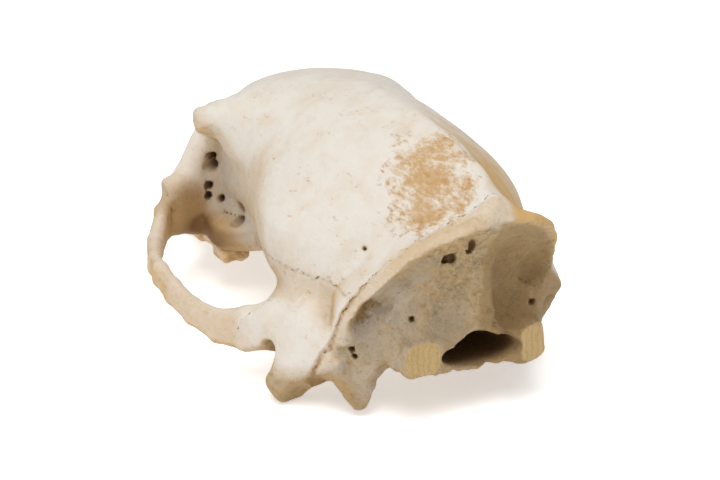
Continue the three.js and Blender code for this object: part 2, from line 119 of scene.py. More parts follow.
@dataclass(frozen=True)
class Section:
    """One cross-section of a hull: place, half width, top, underside and roundness of the roof."""

    y: float
    half: float
    top: float
    under: float
    roof: float = 0.0


@dataclass(frozen=True)
class Hull:
    """A long body given by its cross-sections."""

    sections: tuple[Section, ...]
    roundness: float

    def along(self, key: str, y: Grid) -> Grid:
        """Smooth value of one size along the hull.

        Args:
            key: Name of the size.
            y: Places along the skull.

        Returns:
            The size at each place.
        """
        ys = np.array([s.y for s in self.sections])
        vs = np.array([getattr(s, key) for s in self.sections])
        lo = np.maximum(np.arange(len(ys)) - 1, 0)
        hi = np.minimum(np.arange(len(ys)) + 1, len(ys) - 1)
        slope = (vs[hi] - vs[lo]) / (ys[hi] - ys[lo])
        i = np.clip(np.searchsorted(ys, y) - 1, 0, len(ys) - 2)
        span = ys[i + 1] - ys[i]
        t = np.clip((y - ys[i]) / span, 0.0, 1.0)
        t2, t3 = t * t, t * t * t
        ease = (t3 - 2 * t2 + t) * span * slope[i] + (t3 - t2) * span * slope[i + 1]
        return (2 * t3 - 3 * t2 + 1) * vs[i] + (3 * t2 - 2 * t3) * vs[i + 1] + ease

    def distance(self, x: Grid, y: Grid, z: Grid) -> Grid:
        """Distance from places on a grid to the hull's surface.

        Args:
            x: Places across.
            y: Places along.
            z: Heights.

        Returns:
            Distances, negative inside.
        """
        first, last = self.sections[0].y, self.sections[-1].y
        at = np.clip(y, first, last)
        half, top, under = (self.along(k, at) for k in ("half", "top", "under"))
        tall = (top - under) / 2
        u = np.abs(x) / half
        v = (z - (top + under) / 2) / tall
        n: float | Grid = self.roundness
        if self.sections[0].roof:
            n = np.where(v > 0, self.along("roof", at), self.roundness)
        across = ((u ** n + np.abs(v) ** n) ** (1.0 / n) - 1.0) * np.minimum(half, tall)
        beyond = np.abs(y - at)
        return np.where(beyond > 0, np.hypot(np.maximum(across, 0.0), beyond), across)


@dataclass(frozen=True)
class Ovoid:
    """A rounded body: centre, half sizes and squareness (2 is an ellipsoid, more is a rounded block)."""

    at: Point
    size: Point
    square: float = 2.0

    def box(self) -> tuple[Point, Point]:
        """Box round the shape.

        Returns:
            Lowest and highest corner.
        """
        low = tuple(a - s for a, s in zip(self.at, self.size))
        high = tuple(a + s for a, s in zip(self.at, self.size))
        return low, high

    def distance(self, x: Grid, y: Grid, z: Grid) -> Grid:
        """Distance from places to the surface.

        Args:
            x: Places across.
            y: Places along.
            z: Heights.

        Returns:
            Distances, negative inside.
        """
        q = [np.abs(c - a) / s for c, a, s in zip((x, y, z), self.at, self.size)]
        reach = sum(c ** self.square for c in q) ** (1.0 / self.square) + 1e-6
        slope = np.sqrt(sum(((c / reach) ** (self.square - 1.0) / s) ** 2 for c, s in zip(q, self.size)))
        return (reach - 1.0) / np.maximum(slope, 0.02)


@dataclass(frozen=True)
class Ridge:
    """A rounded ridge along a row of points, each x, y, z and radius."""

    row: tuple[tuple[float, float, float, float], ...]

    def box(self) -> tuple[Point, Point]:
        """Box round the shape.

        Returns:
            Lowest and highest corner.
        """
        low = tuple(min(p[i] - p[3] for p in self.row) for i in range(3))
        high = tuple(max(p[i] + p[3] for p in self.row) for i in range(3))
        return low, high

    def distance(self, x: Grid, y: Grid, z: Grid) -> Grid:
        """Distance from places to the surface.

        Args:
            x: Places across.
            y: Places along.
            z: Heights.

        Returns:
            Distances, negative inside.
        """
        best = None
        for a, b in zip(self.row[:-1], self.row[1:]):
            d = [b[i] - a[i] for i in range(3)]
            q = (x - a[0], y - a[1], z - a[2])
            t = np.clip(sum(c * e for c, e in zip(q, d)) / sum(e * e for e in d), 0.0, 1.0)
            gap = np.sqrt(sum((c - t * e) ** 2 for c, e in zip(q, d))) - (a[3] + (b[3] - a[3]) * t)
            best = gap if best is None else np.minimum(best, gap)
        return best


@dataclass(frozen=True)
class Band:
    """An upright band along a row of points, each x, y, z, half height and half thickness."""

    row: tuple[tuple[float, float, float, float, float], ...]

    def box(self) -> tuple[Point, Point]:
        """Box round the shape.

        Returns:
            Lowest and highest corner.
        """
        low = tuple(min(p[i] - (p[3] if i == 2 else p[4]) for p in self.row) for i in range(3))
        high = tuple(max(p[i] + (p[3] if i == 2 else p[4]) for p in self.row) for i in range(3))
        return low, high

    def distance(self, x: Grid, y: Grid, z: Grid) -> Grid:
        """Distance from places to the surface.

        Args:
            x: Places across.
            y: Places along.
            z: Heights.

        Returns:
            Distances, negative inside.
        """
        best = None
        for a, b in zip(self.row[:-1], self.row[1:]):
            dx, dy = b[0] - a[0], b[1] - a[1]
            t = np.clip(((x - a[0]) * dx + (y - a[1]) * dy) / (dx * dx + dy * dy), 0.0, 1.0)
            cx, cy, cz, tall, thick = (a[i] + (b[i] - a[i]) * t for i in range(5))
            dz = np.maximum(np.abs(z - cz) - np.maximum(tall - thick, 0.0), 0.0)
            gap = np.sqrt((x - cx) ** 2 + (y - cy) ** 2 + dz ** 2) - thick
            best = gap if best is None else smooth_min(best, gap, 1.5)
        return best


Shape = Ovoid | Ridge | Band


def mirrored(shape: Shape, side: Side) -> Shape:
    """The same shape on one side of the skull.

    Args:
        shape: Shape given for the left side.
        side: Side that it is wanted on.

    Returns:
        The shape in its place.
    """
    if isinstance(shape, Ovoid):
        return Ovoid((shape.at[0] * side.value, *shape.at[1:]), shape.size, shape.square)
    return type(shape)(tuple((p[0] * side.value, *p[1:]) for p in shape.row))


class BoneField:
    """Distance to the bone's surface on a regular grid, built up mass by mass."""

    def __init__(self, low: Point, high: Point, cell: float) -> None:
        """Lays out the grid.

        Args:
            low: Lowest corner in millimetres.
            high: Highest corner in millimetres.
            cell: Size of a cell in millimetres.
        """
        self.cell = cell
        self.low = np.array(low)
        self.axes = [np.arange(a, b + cell, cell) for a, b in zip(low, high)]
        self.values = np.full([len(a) for a in self.axes], FAR, dtype=np.float32)

    def window(self, low: Sequence[float], high: Sequence[float]) -> tuple[tuple[slice, ...], list[Grid]]:
        """Part of the grid inside a box.

        Args:
            low: Lowest corner.
            high: Highest corner.

        Returns:
            Slices of the grid, and the places across, along and up, ready to be combined.
        """
        cuts, places = [], []
        for i, axis in enumerate(self.axes):
            a = int(np.clip(np.searchsorted(axis, low[i]), 0, len(axis) - 1))
            b = int(np.clip(np.searchsorted(axis, high[i]) + 1, a + 1, len(axis)))
            cuts.append(slice(a, b))
            shape = [1, 1, 1]
            shape[i] = b - a
            places.append(axis[a:b].reshape(shape).astype(np.float32))
        return tuple(cuts), places

    def join_hull(self, hull: Hull, width: float) -> None:
        """Joins a hull over the whole grid.

        Args:
            hull: The hull.
            width: Width of the fillet.
        """
        _, (x, y, z) = self.window([-999] * 3, [999] * 3)
        self.values = smooth_min(self.values, hull.distance(x, y, z).astype(np.float32), width)

    def join(self, shape: Shape, width: float) -> None:
        """Joins a local shape.

        Args:
            shape: The shape.
            width: Width of the fillet.
        """
        low, high = shape.box()
        cuts, (x, y, z) = self.window([v - width - 5 for v in low], [v + width + 5 for v in high])
        self.values[cuts] = smooth_min(self.values[cuts], shape.distance(x, y, z), width)

    def cut(self, shape: Shape, width: float) -> None:
        """Cuts a local shape away.

        Args:
            shape: The shape.
            width: Width over which its rim is eased.
        """
        low, high = shape.box()
        cuts, (x, y, z) = self.window([v - width - 5 for v in low], [v + width + 5 for v in high])
        self.values[cuts] = -smooth_min(-self.values[cuts], shape.distance(x, y, z), width)

    def roughen(self, spacing: float, depth: float, seed: int,
                where: Callable[[Grid, Grid, Grid], Grid]) -> None:
        """Makes the surface uneven.

        Args:
            spacing: Distance between bumps in millimetres.
            depth: Height of the bumps in millimetres.
            seed: Seed of the pattern.
            where: Share of the depth at each place.
        """
        _, (x, y, z) = self.window([-999] * 3, [999] * 3)
        noise = lattice_noise(self.axes, spacing, seed)
        self.values += (noise * depth * where(x, y, z)).astype(np.float32)

    def sample(self, points: Grid) -> Grid:
        """Distance at any points, between the grid's own.

        Args:
            points: Rows of x, y and z.

        Returns:
            One distance for each row.
        """
        q = (points - self.low) / self.cell
        size = np.array(self.values.shape) - 2
        i = np.clip(np.floor(q).astype(int), 0, size)
        t = np.clip(q - i, 0.0, 1.0)
        total = np.zeros(len(points))
        for corner in range(8):
            c = np.array([corner & 1, (corner >> 1) & 1, corner >> 2])
            weight = np.prod(np.where(c, t, 1.0 - t), axis=1)
            total += weight * self.values[tuple((i + c).T)]
        return total

    def slope(self, points: Grid) -> Grid:
        """Direction of steepest rise of the distance.

        Args:
            points: Rows of x, y and z.

        Returns:
            One direction for each row.
        """
        step = self.cell * 0.6
        rise = [self.sample(points + step * e) - self.sample(points - step * e) for e in np.eye(3)]
        return np.stack(rise, axis=1) / (2 * step)


def lattice_noise(axes: Sequence[Grid], spacing: float, seed: int) -> Grid:
    """Smooth random values over a grid.

    Args:
        axes: Places along the three axes.
        spacing: Distance between random values in millimetres.
        seed: Seed of the values.

    Returns:
        Values from about -1 to 1.
    """
    rng = np.random.default_rng(seed)
    counts = [int((a[-1] - a[0]) / spacing) + 3 for a in axes]
    values = rng.uniform(-1.0, 1.0, counts)
    for i, axis in enumerate(axes):
        q = (axis - axis[0]) / spacing
        k = np.floor(q).astype(int)
        t = q - k
        t = t * t * (3 - 2 * t)
        weights = np.zeros((len(axis), counts[i]))
        weights[np.arange(len(axis)), k] = 1 - t
        weights[np.arange(len(axis)), k + 1] = t
        values = np.moveaxis(np.tensordot(weights, values, axes=(1, i)), 0, i)
    return values


def skin(values: Grid, low: Grid, cell: float) -> tuple[Grid, Grid]:
    """Draws a closed skin of four-sided faces where a distance passes through zero.

    Args:
        values: Distances on a grid.
        low: Lowest corner of the grid.
        cell: Size of a cell.

    Returns:
        Vertices, and faces as rows of four vertex numbers.
    """
    inside = values < 0
    shape = tuple(n - 1 for n in values.shape)
    count = np.zeros(shape, dtype=np.int8)
    corners = [(i, j, k) for i in (0, 1) for j in (0, 1) for k in (0, 1)]
    for i, j, k in corners:
        count += inside[i:i + shape[0], j:j + shape[1], k:k + shape[2]]
    mixed = (count > 0) & (count < 8)
    number = np.full(shape, -1, dtype=np.int64)
    number[mixed] = np.arange(int(mixed.sum()))
    cells = np.argwhere(mixed)
    at = {c: values[tuple((cells + c).T)] for c in corners}
    total, share = np.zeros((len(cells), 3)), np.zeros(len(cells))
    for a in corners:
        for axis in range(3):
            if a[axis]:
                continue
            b = tuple(1 if i == axis else v for i, v in enumerate(a))
            crossed = (at[a] < 0) != (at[b] < 0)
            place = np.zeros((len(cells), 3)) + np.array(a, dtype=float)
            place[:, axis] += np.where(crossed, at[a] / np.where(crossed, at[a] - at[b], 1.0), 0.0)
            total[crossed] += place[crossed]
            share[crossed] += 1
    vertices = (total / share[:, None] + cells) * cell + low
    faces = []
    for axis in range(3):
        b, c = (axis + 1) % 3, (axis + 2) % 3
        head = tuple(slice(0, -1) if i == axis else slice(None) for i in range(3))
        tail = tuple(slice(1, None) if i == axis else slice(None) for i in range(3))
        edges = np.argwhere(inside[head] != inside[tail])
        keep = (edges[:, b] > 0) & (edges[:, c] > 0)
        keep &= (edges[:, b] < values.shape[b] - 1) & (edges[:, c] < values.shape[c] - 1)
        edges = edges[keep]
        leaving = inside[head][tuple(edges.T)]
        ring = []
        for db, dc in ((1, 1), (0, 1), (0, 0), (1, 0)):
            q = edges.copy()
            q[:, b] -= db
            q[:, c] -= dc
            ring.append(number[tuple(q.T)])
        quads = np.stack(ring, axis=1)
        quads[~leaving] = quads[~leaving][:, ::-1]
        faces.append(quads)
    return vertices, np.concatenate(faces)


def linear(code: str) -> tuple[float, float, float, float]:
    """Turns an sRGB hex colour to linear light.

    Args:
        code: Colour such as "E9E3DA".

    Returns:
        Red, green, blue and alpha.
    """
    parts = [int(code[i:i + 2], 16) / 255 for i in (0, 2, 4)]
    return (*(p / 12.92 if p <= 0.04045 else ((p + 0.055) / 1.055) ** 2.4 for p in parts), 1.0)


def add_node(tree: bpy.types.NodeTree, kind: str, links: dict | None = None,
             **settings: object) -> bpy.types.Node:
    """Adds one node with its settings and links.

    Args:
        tree: Tree that takes the node.
        kind: Blender's name of the node type.
        links: Input name or number to a node, an output socket or a value.
        settings: Attributes of the node.

    Returns:
        The new node.
    """
    node = tree.nodes.new(kind)
    for key, value in settings.items():
        setattr(node, key, value)
    for key, value in (links or {}).items():
        if isinstance(value, bpy.types.Node):
            value = next(s for s in value.outputs if s.enabled)
        if isinstance(value, bpy.types.NodeSocket):
            tree.links.new(value, node.inputs[key])
        else:
            node.inputs[key].default_value = value
    return node


def blank_material(name: str) -> bpy.types.Material:
    """A material with an empty node tree.

    Args:
        name: Name of the material.

    Returns:
        The new material.
    """
    material = bpy.data.materials.new(name)
    material.use_nodes = True
    material.node_tree.nodes.clear()
    return material


def camera_glow(tree: bpy.types.NodeTree, strengths: tuple[float, float]) -> bpy.types.Node:
    """Glow that the camera sees stronger than it lights.

    Args:
        tree: Tree that takes the nodes.
        strengths: Glow as light, and as the camera sees it.

    Returns:
        The node that gives the strength.
    """
    seen = add_node(tree, "ShaderNodeLightPath").outputs["Is Camera Ray"]
    return add_node(tree, "ShaderNodeMapRange", {
        "Value": seen, "To Min": strengths[0], "To Max": strengths[1]})


def put(name: str, data: bpy.types.ID) -> bpy.types.Object:
    """Puts an object with its data in the scene.

    Args:
        name: Name of the object.
        data: Its mesh, light or camera.

    Returns:
        The new object.
    """
    thing = bpy.data.objects.new(name, data)
    bpy.context.scene.collection.objects.link(thing)
    return thing


@dataclass(frozen=True)
class DryBone:
    """Sun-dried bone, bare and porous: dull cream, tan with earth stains, with stained sutures, and painted
    shade of tan and brown in hollows and on faces turned from the light.
    """

    name: str = "dry_bone"
    cream: str = "E5DED4"
    warm: str = "DFD2BE"
    # Tan of earth stains, also used for painted shade in wide hollows and on faces turned from the light.
    tan: str = "CEAC7A"
    # Dark brown of grime specks, and of painted shade in holes and crevices.
    brown: str = "7D5C35"
    grey: str = "AE9F84"
    straw: str = "EBD0A0"
    # Rusty tint of the right crown, also painted shade on the right back.
    rust: str = "D3A766"
    stain: str = "C9A577"
    dark_stain: str = "A27A48"
    suture: str = "AC8450"
    speck: str = "BE8F58"
    inner: str = "E8C78C"
    # Sizes in millimetres of the clouds, streaks, grain, pores and ribs of inner bone, then the depth of
    # the relief and how far light spreads under the surface.
    mottle_mm: float = 10.0
    cloud_mm: float = 7.0
    fine_mm: float = 2.2
    grit_mm: float = 1.3
    grain_mm: float = 0.45
    pore_mm: float = 1.1
    rib_mm: float = 6.0
    relief_mm: float = 1.5
    glow_mm: float = 2.0

    def make(self) -> bpy.types.Material:
        """Builds the material: layers of colour over cream, then pores and grain as bump.

        Returns:
            A procedural material on object coordinates and the bone's tone and wear attributes, which carry
            painted shade and light besides its own colours.
        """
        material = blank_material(self.name)
        tree = material.node_tree
        where = add_node(tree, "ShaderNodeTexCoord").outputs["Object"]
        streak = add_node(tree, "ShaderNodeMapping", {
            "Vector": where, "Rotation": (0.5, 0.3, 0.9), "Scale": (1.0, 0.45, 1.0)})
        noise = {}
        for key, place, size, detail, rough in (
                ("mottle", where, self.mottle_mm, 5.0, 0.6), ("cloud", where, self.cloud_mm, 3.0, 0.6),
                ("fine", where, self.fine_mm, 6.0, 0.7), ("grit", streak, self.grit_mm, 8.0, 0.75),
                ("grain", where, self.grain_mm, 4.0, 0.7)):
            noise[key] = add_node(tree, "ShaderNodeTexNoise", {
                "Vector": place, "Scale": 1 / (size * MM), "Detail": detail, "Roughness": rough})
        pores = add_node(tree, "ShaderNodeTexVoronoi", {"Vector": where, "Scale": 1 / (self.pore_mm * MM)})
        wear = add_node(tree, "ShaderNodeAttribute", attribute_name="wear")
        worn = add_node(tree, "ShaderNodeSeparateColor", {"Color": wear.outputs["Color"]})
        base = self.colour(tree, where, noise, wear.outputs["Alpha"], worn)
        height = add_node(tree, "ShaderNodeMapRange", {
            "Value": pores, "From Min": 0.0, "From Max": 0.25, "To Min": -0.6, "To Max": 0.0})
        for key, share in (("grain", 0.7), ("fine", 0.9)):
            height = add_node(tree, "ShaderNodeMath", {0: noise[key], 1: share, 2: height},
                              operation="MULTIPLY_ADD")
        rough = add_node(tree, "ShaderNodeMath", {0: worn.outputs["Blue"], 1: 0.65, 2: 0.3},
                         operation="MULTIPLY_ADD")
        bump = add_node(tree, "ShaderNodeBump", {
            "Height": height, "Strength": rough, "Distance": self.relief_mm * MM})
        gloss = add_node(tree, "ShaderNodeMapRange", {"Value": noise["fine"], "To Min": 0.5, "To Max": 0.8})
        shader = add_node(tree, "ShaderNodeBsdfPrincipled", {
            "Base Color": base, "IOR": 1.5, "Roughness": gloss, "Normal": bump, "Specular IOR Level": 0.35,
            "Subsurface Weight": 0.1, "Subsurface Scale": self.glow_mm * MM,
            "Subsurface Radius": (1.0, 0.7, 0.45)})
        add_node(tree, "ShaderNodeOutputMaterial", {"Surface": shader})
        return material

    def colour(self, tree: bpy.types.NodeTree, where: bpy.types.NodeSocket,
               noise: dict[str, bpy.types.Node], bleach: bpy.types.NodeSocket,
               worn: bpy.types.Node) -> bpy.types.Node:
        """Lays the colours of age and earth over the cream, one after another, with painted shade in hollows
        and on faces turned from the light.

        Args:
            tree: Tree that takes the nodes.
            where: Place on the bone.
            noise: Clouds and grains by name.
            bleach: Where weather has greyed the bone.
            worn: Nearness of a suture, rusty tint partly painted shade, and roughness.

        Returns:
            The node that gives the finished colour.
        """
        tone = add_node(tree, "ShaderNodeAttribute", attribute_name="tone")
        bare = tone.outputs["Alpha"]
        parts = add_node(tree, "ShaderNodeSeparateColor", {"Color": tone.outputs["Color"]})
        soil_and_shade_level, patch, hollow_shade = parts.outputs
        cloud = add_node(tree, "ShaderNodeMath", {0: noise["cloud"], 1: 1.1}, operation="MULTIPLY")
        # Sums of a noise times its strength and something that lies under it.
        sums = {}
        for key, value, strength, under in (
                ("soil_and_shade", noise["fine"], 0.5, soil_and_shade_level), ("rust_and_shade", noise["cloud"], 0.8, worn.outputs["Green"]),
                ("ragged", noise["grit"], 1.5, cloud)):
            sums[key] = add_node(tree, "ShaderNodeMath", {0: value, 1: strength, 2: under},
                                 operation="MULTIPLY_ADD")
        reach = add_node(tree, "ShaderNodeMath", {0: patch, 1: 0.62, 2: sums["ragged"]},
                         operation="MULTIPLY_ADD")
        near = add_node(tree, "ShaderNodeMapRange", {"Value": patch, "From Min": 0.02, "From Max": 0.3})
        rare = add_node(tree, "ShaderNodeMapRange", {
            "Value": noise["cloud"], "From Min": 0.46, "From Max": 0.6, "To Min": 0.1, "To Max": 0.8})
        ribs = add_node(tree, "ShaderNodeTexWave", {
            "Vector": where, "Scale": 1 / (self.rib_mm * MM), "Distortion": 5.0, "Detail": 2.0,
            "Detail Scale": 2.0})
        seam = add_node(tree, "ShaderNodeMath", {0: worn, 1: noise["fine"]}, operation="MULTIPLY")
        # What shows each layer, where it starts and is full, what holds it back, and its colour.
        layers = (
            (noise["mottle"], 0.46, 0.78, 1.0, self.warm),
            # rusty tint, on the right back painted shade
            (sums["rust_and_shade"], 0.45, 1.25, 1.0, self.rust),
            # tan of earth stains, and painted shade in wide hollows and on faces turned from the light
            (sums["soil_and_shade"], 0.28, 1.15, 1.0, self.tan),
            (noise["cloud"], 0.44, 0.72, bleach, self.grey),
            (noise["grit"], 0.57, 0.32, bleach, self.straw),
            # painted shade: dark brown in holes, hollows and crevices
            (hollow_shade, 0.1, 1.0, 1.0, self.brown),
            (noise["grit"], 0.53, 0.88, soil_and_shade_level, self.brown),
            (reach, 1.62, 1.95, near, self.stain),
            (sums["ragged"], 1.4, 1.9, near, self.dark_stain),
            (noise["grit"], 0.57, 0.68, rare, self.speck),
            (bare, 0.2, 0.7, 1.0, self.inner),
            (ribs.outputs["Fac"], 0.6, 2.6, bare, self.dark_stain),
            (seam, 0.1, 0.5, 0.9, self.suture))
        base: object = linear(self.cream)
        for value, start, full, held_back, code in layers:
            share = add_node(tree, "ShaderNodeMapRange", {
                "Value": value, "From Min": start, "From Max": full})
            amount = add_node(tree, "ShaderNodeMath", {0: share, 1: held_back}, operation="MULTIPLY")
            base = add_node(tree, "ShaderNodeMix", {0: amount, 6: base, 7: linear(code)}, data_type="RGBA")
        return base


@dataclass(frozen=True)
class Enamel:
    """Aged tooth enamel over dentine: smooth, honey coloured, darker in its fine cracks."""

    name: str = "aged_enamel"
    crown: str = "D9BC8A"
    root: str = "A5763F"
    crack_mm: float = 2.5
    relief_mm: float = 0.3

    def make(self) -> bpy.types.Material:
        """Builds the material.

        Returns:
            A procedural material on object coordinates.
        """
        material = blank_material(self.name)
        tree = material.node_tree
        where = add_node(tree, "ShaderNodeTexCoord").outputs["Object"]
        noise = add_node(tree, "ShaderNodeTexNoise", {
            "Vector": where, "Scale": 1 / (self.crack_mm * MM), "Detail": 5.0, "Roughness": 0.6})
        tone = add_node(tree, "ShaderNodeMapRange", {"Value": noise, "From Min": 0.35, "From Max": 0.7})
        colour = add_node(tree, "ShaderNodeMix", {0: tone, 6: linear(self.crown), 7: linear(self.root)},
                          data_type="RGBA")
        bump = add_node(tree, "ShaderNodeBump", {
            "Height": noise, "Strength": 0.15, "Distance": self.relief_mm * MM})
        shader = add_node(tree, "ShaderNodeBsdfPrincipled", {
            "Base Color": colour, "Roughness": 0.38, "Normal": bump, "IOR": 1.6})
        add_node(tree, "ShaderNodeOutputMaterial", {"Surface": shader})
        return material


@dataclass(frozen=True)
class WhitePaper:
    """Matt white paper, lit so evenly that only the skull's own shadow shows on it."""

    name: str = "white_paper"
    white: str = "FFFFFF"
    roughness: float = 0.9
    glow: tuple[float, float] = (0.24, 0.45)

    def make(self) -> bpy.types.Material:
        """Builds the material.

        Returns:
            A plain material that glows a little.
        """
        material = blank_material(self.name)
        tree = material.node_tree
        white = linear(self.white)
        shader = add_node(tree, "ShaderNodeBsdfPrincipled", {
            "Base Color": white, "Roughness": self.roughness, "Emission Color": white,
            "Emission Strength": camera_glow(tree, self.glow)})
        add_node(tree, "ShaderNodeOutputMaterial", {"Surface": shader})
        return material


def sections(rows: Iterable[Sequence[float]]) -> tuple[Section, ...]:
    """Sections from rows of their sizes."""
    return tuple(Section(*row) for row in rows)


@dataclass(frozen=True)
class Blotch:
    """A round patch of colour: centre, where it fades out, where it is full, and its squeeze along."""

    at: Point
    outer: float
    inner: float
    squeeze: float = 1.0

    def share(self, x: Grid, y: Grid, z: Grid) -> Grid:
        """Strength of the colour.

        Args:
            x: Places across.
            y: Places along.
            z: Heights.

        Returns:
            Numbers from 0 to 1.
        """
        along = (y - self.at[1]) * self.squeeze
        gap = np.sqrt((x - self.at[0]) ** 2 + along ** 2 + (z - self.at[2]) ** 2)
        return smooth_step(self.outer, self.inner, gap)


@dataclass
class WeatheringAndShade:
    """How earth, sun and age have coloured the bone from place to place, and where shade and light are
    painted on it.
    """

    orbit: Blotch = Blotch((24, -18, 30), 26.0, 10.0)
    cheek_plate: Blotch = Blotch((38, -30, 25), 15.0, 6.0)
    sockets: Blotch = Blotch((28, -24, 15), 14.0, 5.0, 0.8)
    brow_tip: Blotch = Blotch((39, -13, 58), 9.0, 3.0)
    # Spots on the nape painted lighter: painted light that lifts the shade of their crevices.
    painted_light_spots: tuple[Blotch, ...] = (
        Blotch((26.0, 82.0, 34.0), 13.0, 3.9), Blotch((8.0, 91.5, 23.0), 9.0, 2.7),
        Blotch((19.5, 90.0, 41.5), 8.0, 2.4), Blotch((27.0, 76.0, 22.0), 9.0, 2.7))
    # Stain on the crown: middle and half sizes, across and along.
    stain_at: tuple[float, float] = (9.0, 77.0)
    stain_half: tuple[float, float] = (12.5, 20.0)
    # Height and inner edge of the suture over the temple, and half width of the stain along a suture.
    temple_seam: float = 33.0
    temple_inner: float = 25.0
    seam_width: float = 0.9
    # Share of tan that each region adds: earth stain on most, painted shade on the right back, the right
    # side of the crown and the left flank.
    soil_and_shade: dict[str, float] = field(default_factory=lambda: {
        "right_back": 0.3, "orbit": 0.15, "under": 0.4, "right_side": 0.3, "brow": 0.5, "arch": 0.3,
        "broken": 0.75, "flank": 0.42})

    def regions(self, cranium: "Cranium", points: Grid, normals: Grid) -> dict[str, Grid]:
        """Finds the parts of the surface that are coloured in their own way, some by weathering, some with
        painted shade and light.

        Args:
            cranium: The skull.
            points: Vertices in the skull's own measures.
            normals: Directions out of the surface there.

        Returns:
            Strength from 0 to 1 of each named region.
        """
        x, y, z = points.T
        side = np.abs(x)
        out, astern, up = normals.T
        within = cranium.on_nape(x, y, z)
        deep = smooth_step(46.0, 40.0, z) * smooth_step(0.75, 1.0, within)
        back = within * np.maximum(smooth_step(0.6, 0.2, up), deep)
        low = smooth_step(13.0, 4.0, z) * smooth_step(30.0, 36.0, side)
        # Left flank, turned forward from the light: partly a tan border of its own, partly painted shade.
        flank = smooth_step(0.05, -0.3, astern) * smooth_step(0.5, 0.9, out)
        return {
            # The right back: the fossa and the ridge's right flank, their own brown deepened with painted
            # shade.
            "back": back, "right_back": back * smooth_step(2.4, 0.0, x),
            "orbit": self.orbit.share(side, y, z), "plate": self.cheek_plate.share(side, y, z),
            "sockets": self.sockets.share(side, y, z), "brow": self.brow_tip.share(x, y, z),
            "painted_light_spots": np.maximum.reduce([spot.share(x, y, z) for spot in self.painted_light_spots]),
            "under": smooth_step(0.1, -0.7, up), "broken": low * smooth_step(48.0, 54.0, y),
            # Painted shade: tan on the right side of the crown, turned from the light.
            "right_side": smooth_step(-0.5, -5.0, x) * smooth_step(30.0, 60.0, y),
            "arch": smooth_step(44.0, 48.0, side) * smooth_step(52.0, 44.0, y),
            "flank": flank * smooth_step(-16.0, 0.0, y),
            "rim": smooth_step(-0.3, 1.2, cranium.behind_nape(x, y, z)) * smooth_step(-4.0, 0.0, x)}

    @staticmethod
    def closeness(bone: BoneField, points: Grid, normals: Grid, reach: float) -> Grid:
        """How near other bone is over the surface, or with a negative reach how thin the bone is under it.

        Args:
            bone: Field of the skull.
            points: Vertices in the skull's own measures.
            normals: Directions out of the surface there.
            reach: Distance of the probe in millimetres.

        Returns:
            Numbers from 0, open, to 1, touching.
        """
        return 1.0 - np.clip(bone.sample(points + normals * reach) / reach, 0.0, 1.0)

    def hollow_shade(self, cranium: "Cranium", points: Grid, shut: Grid, parts: dict[str, Grid]) -> Grid:
        """Painted shade: darkness of holes, hollows and crevices, which also deepens the cheek plate's own
        brown.

        Args:
            cranium: The skull.
            points: Vertices in the skull's own measures.
            shut: Nearness of other bone.
            parts: Strength of each region.

        Returns:
            Numbers from 0 to 1.
        """
        x, y, z = points.T
        # Painted shade inside the opening for the spinal cord and inside the nose.
        spinal = np.minimum(cranium.spinal.distance(x, y, z), cranium.spinal_peak.distance(x, y, z))
        inside = smooth_step(1.5, 0.3, spinal) * smooth_step(93.0, 86.0, y)
        nose = smooth_step(1.5, 0.3, cranium.nasal.distance(x, y, z)) * smooth_step(-86.0, -76.0, y)
        # Painted shade where other bone is near, on the right fossa and in the sockets, and over the cheek
        # plate's own brown.
        shallow = (1 - parts["orbit"]) * (1 - 0.8 * parts["back"]) * smooth_step(0.2, 0.7, shut)
        depth = 0.4 * shallow + 0.9 * smooth_step(0.5, 0.95, shut)
        depth += 0.3 * parts["right_back"] + 0.45 * parts["plate"] + 0.25 * parts["sockets"]
        return np.clip(np.maximum(depth, np.maximum(inside, nose)), 0, 1) * (1 - 0.8 * parts["painted_light_spots"])

    def suture(self, cranium: "Cranium", points: Grid) -> Grid:
        """Nearness of the stained sutures of the nape and the temples.

        Args:
            cranium: The skull.
            points: Vertices in the skull's own measures.

        Returns:
            Numbers from 0 to 1.
        """
        x, y, z = points.T
        behind = cranium.behind_nape(x, y, z)
        nape = np.abs(behind) + 0.06 * np.maximum(z - 32.0, 0.0)
        on_temple = (np.abs(x) > self.temple_inner) & (y > 32) & (behind < 0.5)
        temple = np.where(on_temple, 0.6 + np.abs(z - self.temple_seam), 9.0)
        return np.exp(-(np.minimum(nape, temple) / self.seam_width) ** 2)

    def tone(self, cranium: "Cranium", bone: BoneField, points: Grid, normals: Grid) -> tuple[Grid, Grid]:
        """Works out how earth and age have stained the surface, and where shade and light are painted on it.

        Args:
            cranium: The skull.
            bone: Field of the skull.
            points: Vertices in the skull's own measures.
            normals: Directions out of the surface there.

        Returns:
            Rows of tan with painted shade, stain patch, painted shade in hollows and bare inner bone, and
            rows of nearness of a suture, rusty tint partly painted shade, roughness and greying.
        """
        x, y, z = points.T
        parts = self.regions(cranium, points, normals)
        back, right_back, painted_light_spots = parts["back"], parts["right_back"], parts["painted_light_spots"]
        shut, valley, thin = (self.closeness(bone, points, normals, reach) for reach in (2.0, 6.0, -5.0))
        tan = 0.66 * back * (1 - 0.3 * smooth_step(10.0, 24.0, x))
        tan += 0.7 * np.maximum(parts["plate"], parts["sockets"])
        tan = np.clip(tan + sum(share * parts[key] for key, share in self.soil_and_shade.items()), 0, 1)
        # Painted shade: tan in wide hollows, where bone stands within 6 mm over the surface.
        valley_shade = smooth_step(0.12, 0.6, valley) * (1 - parts["orbit"]) * (1 - 0.8 * back)
        tan = np.maximum(tan, 0.42 * parts["rim"]) + 0.5 * valley_shade + 0.2 * smooth_step(0.55, 1.0, thin)
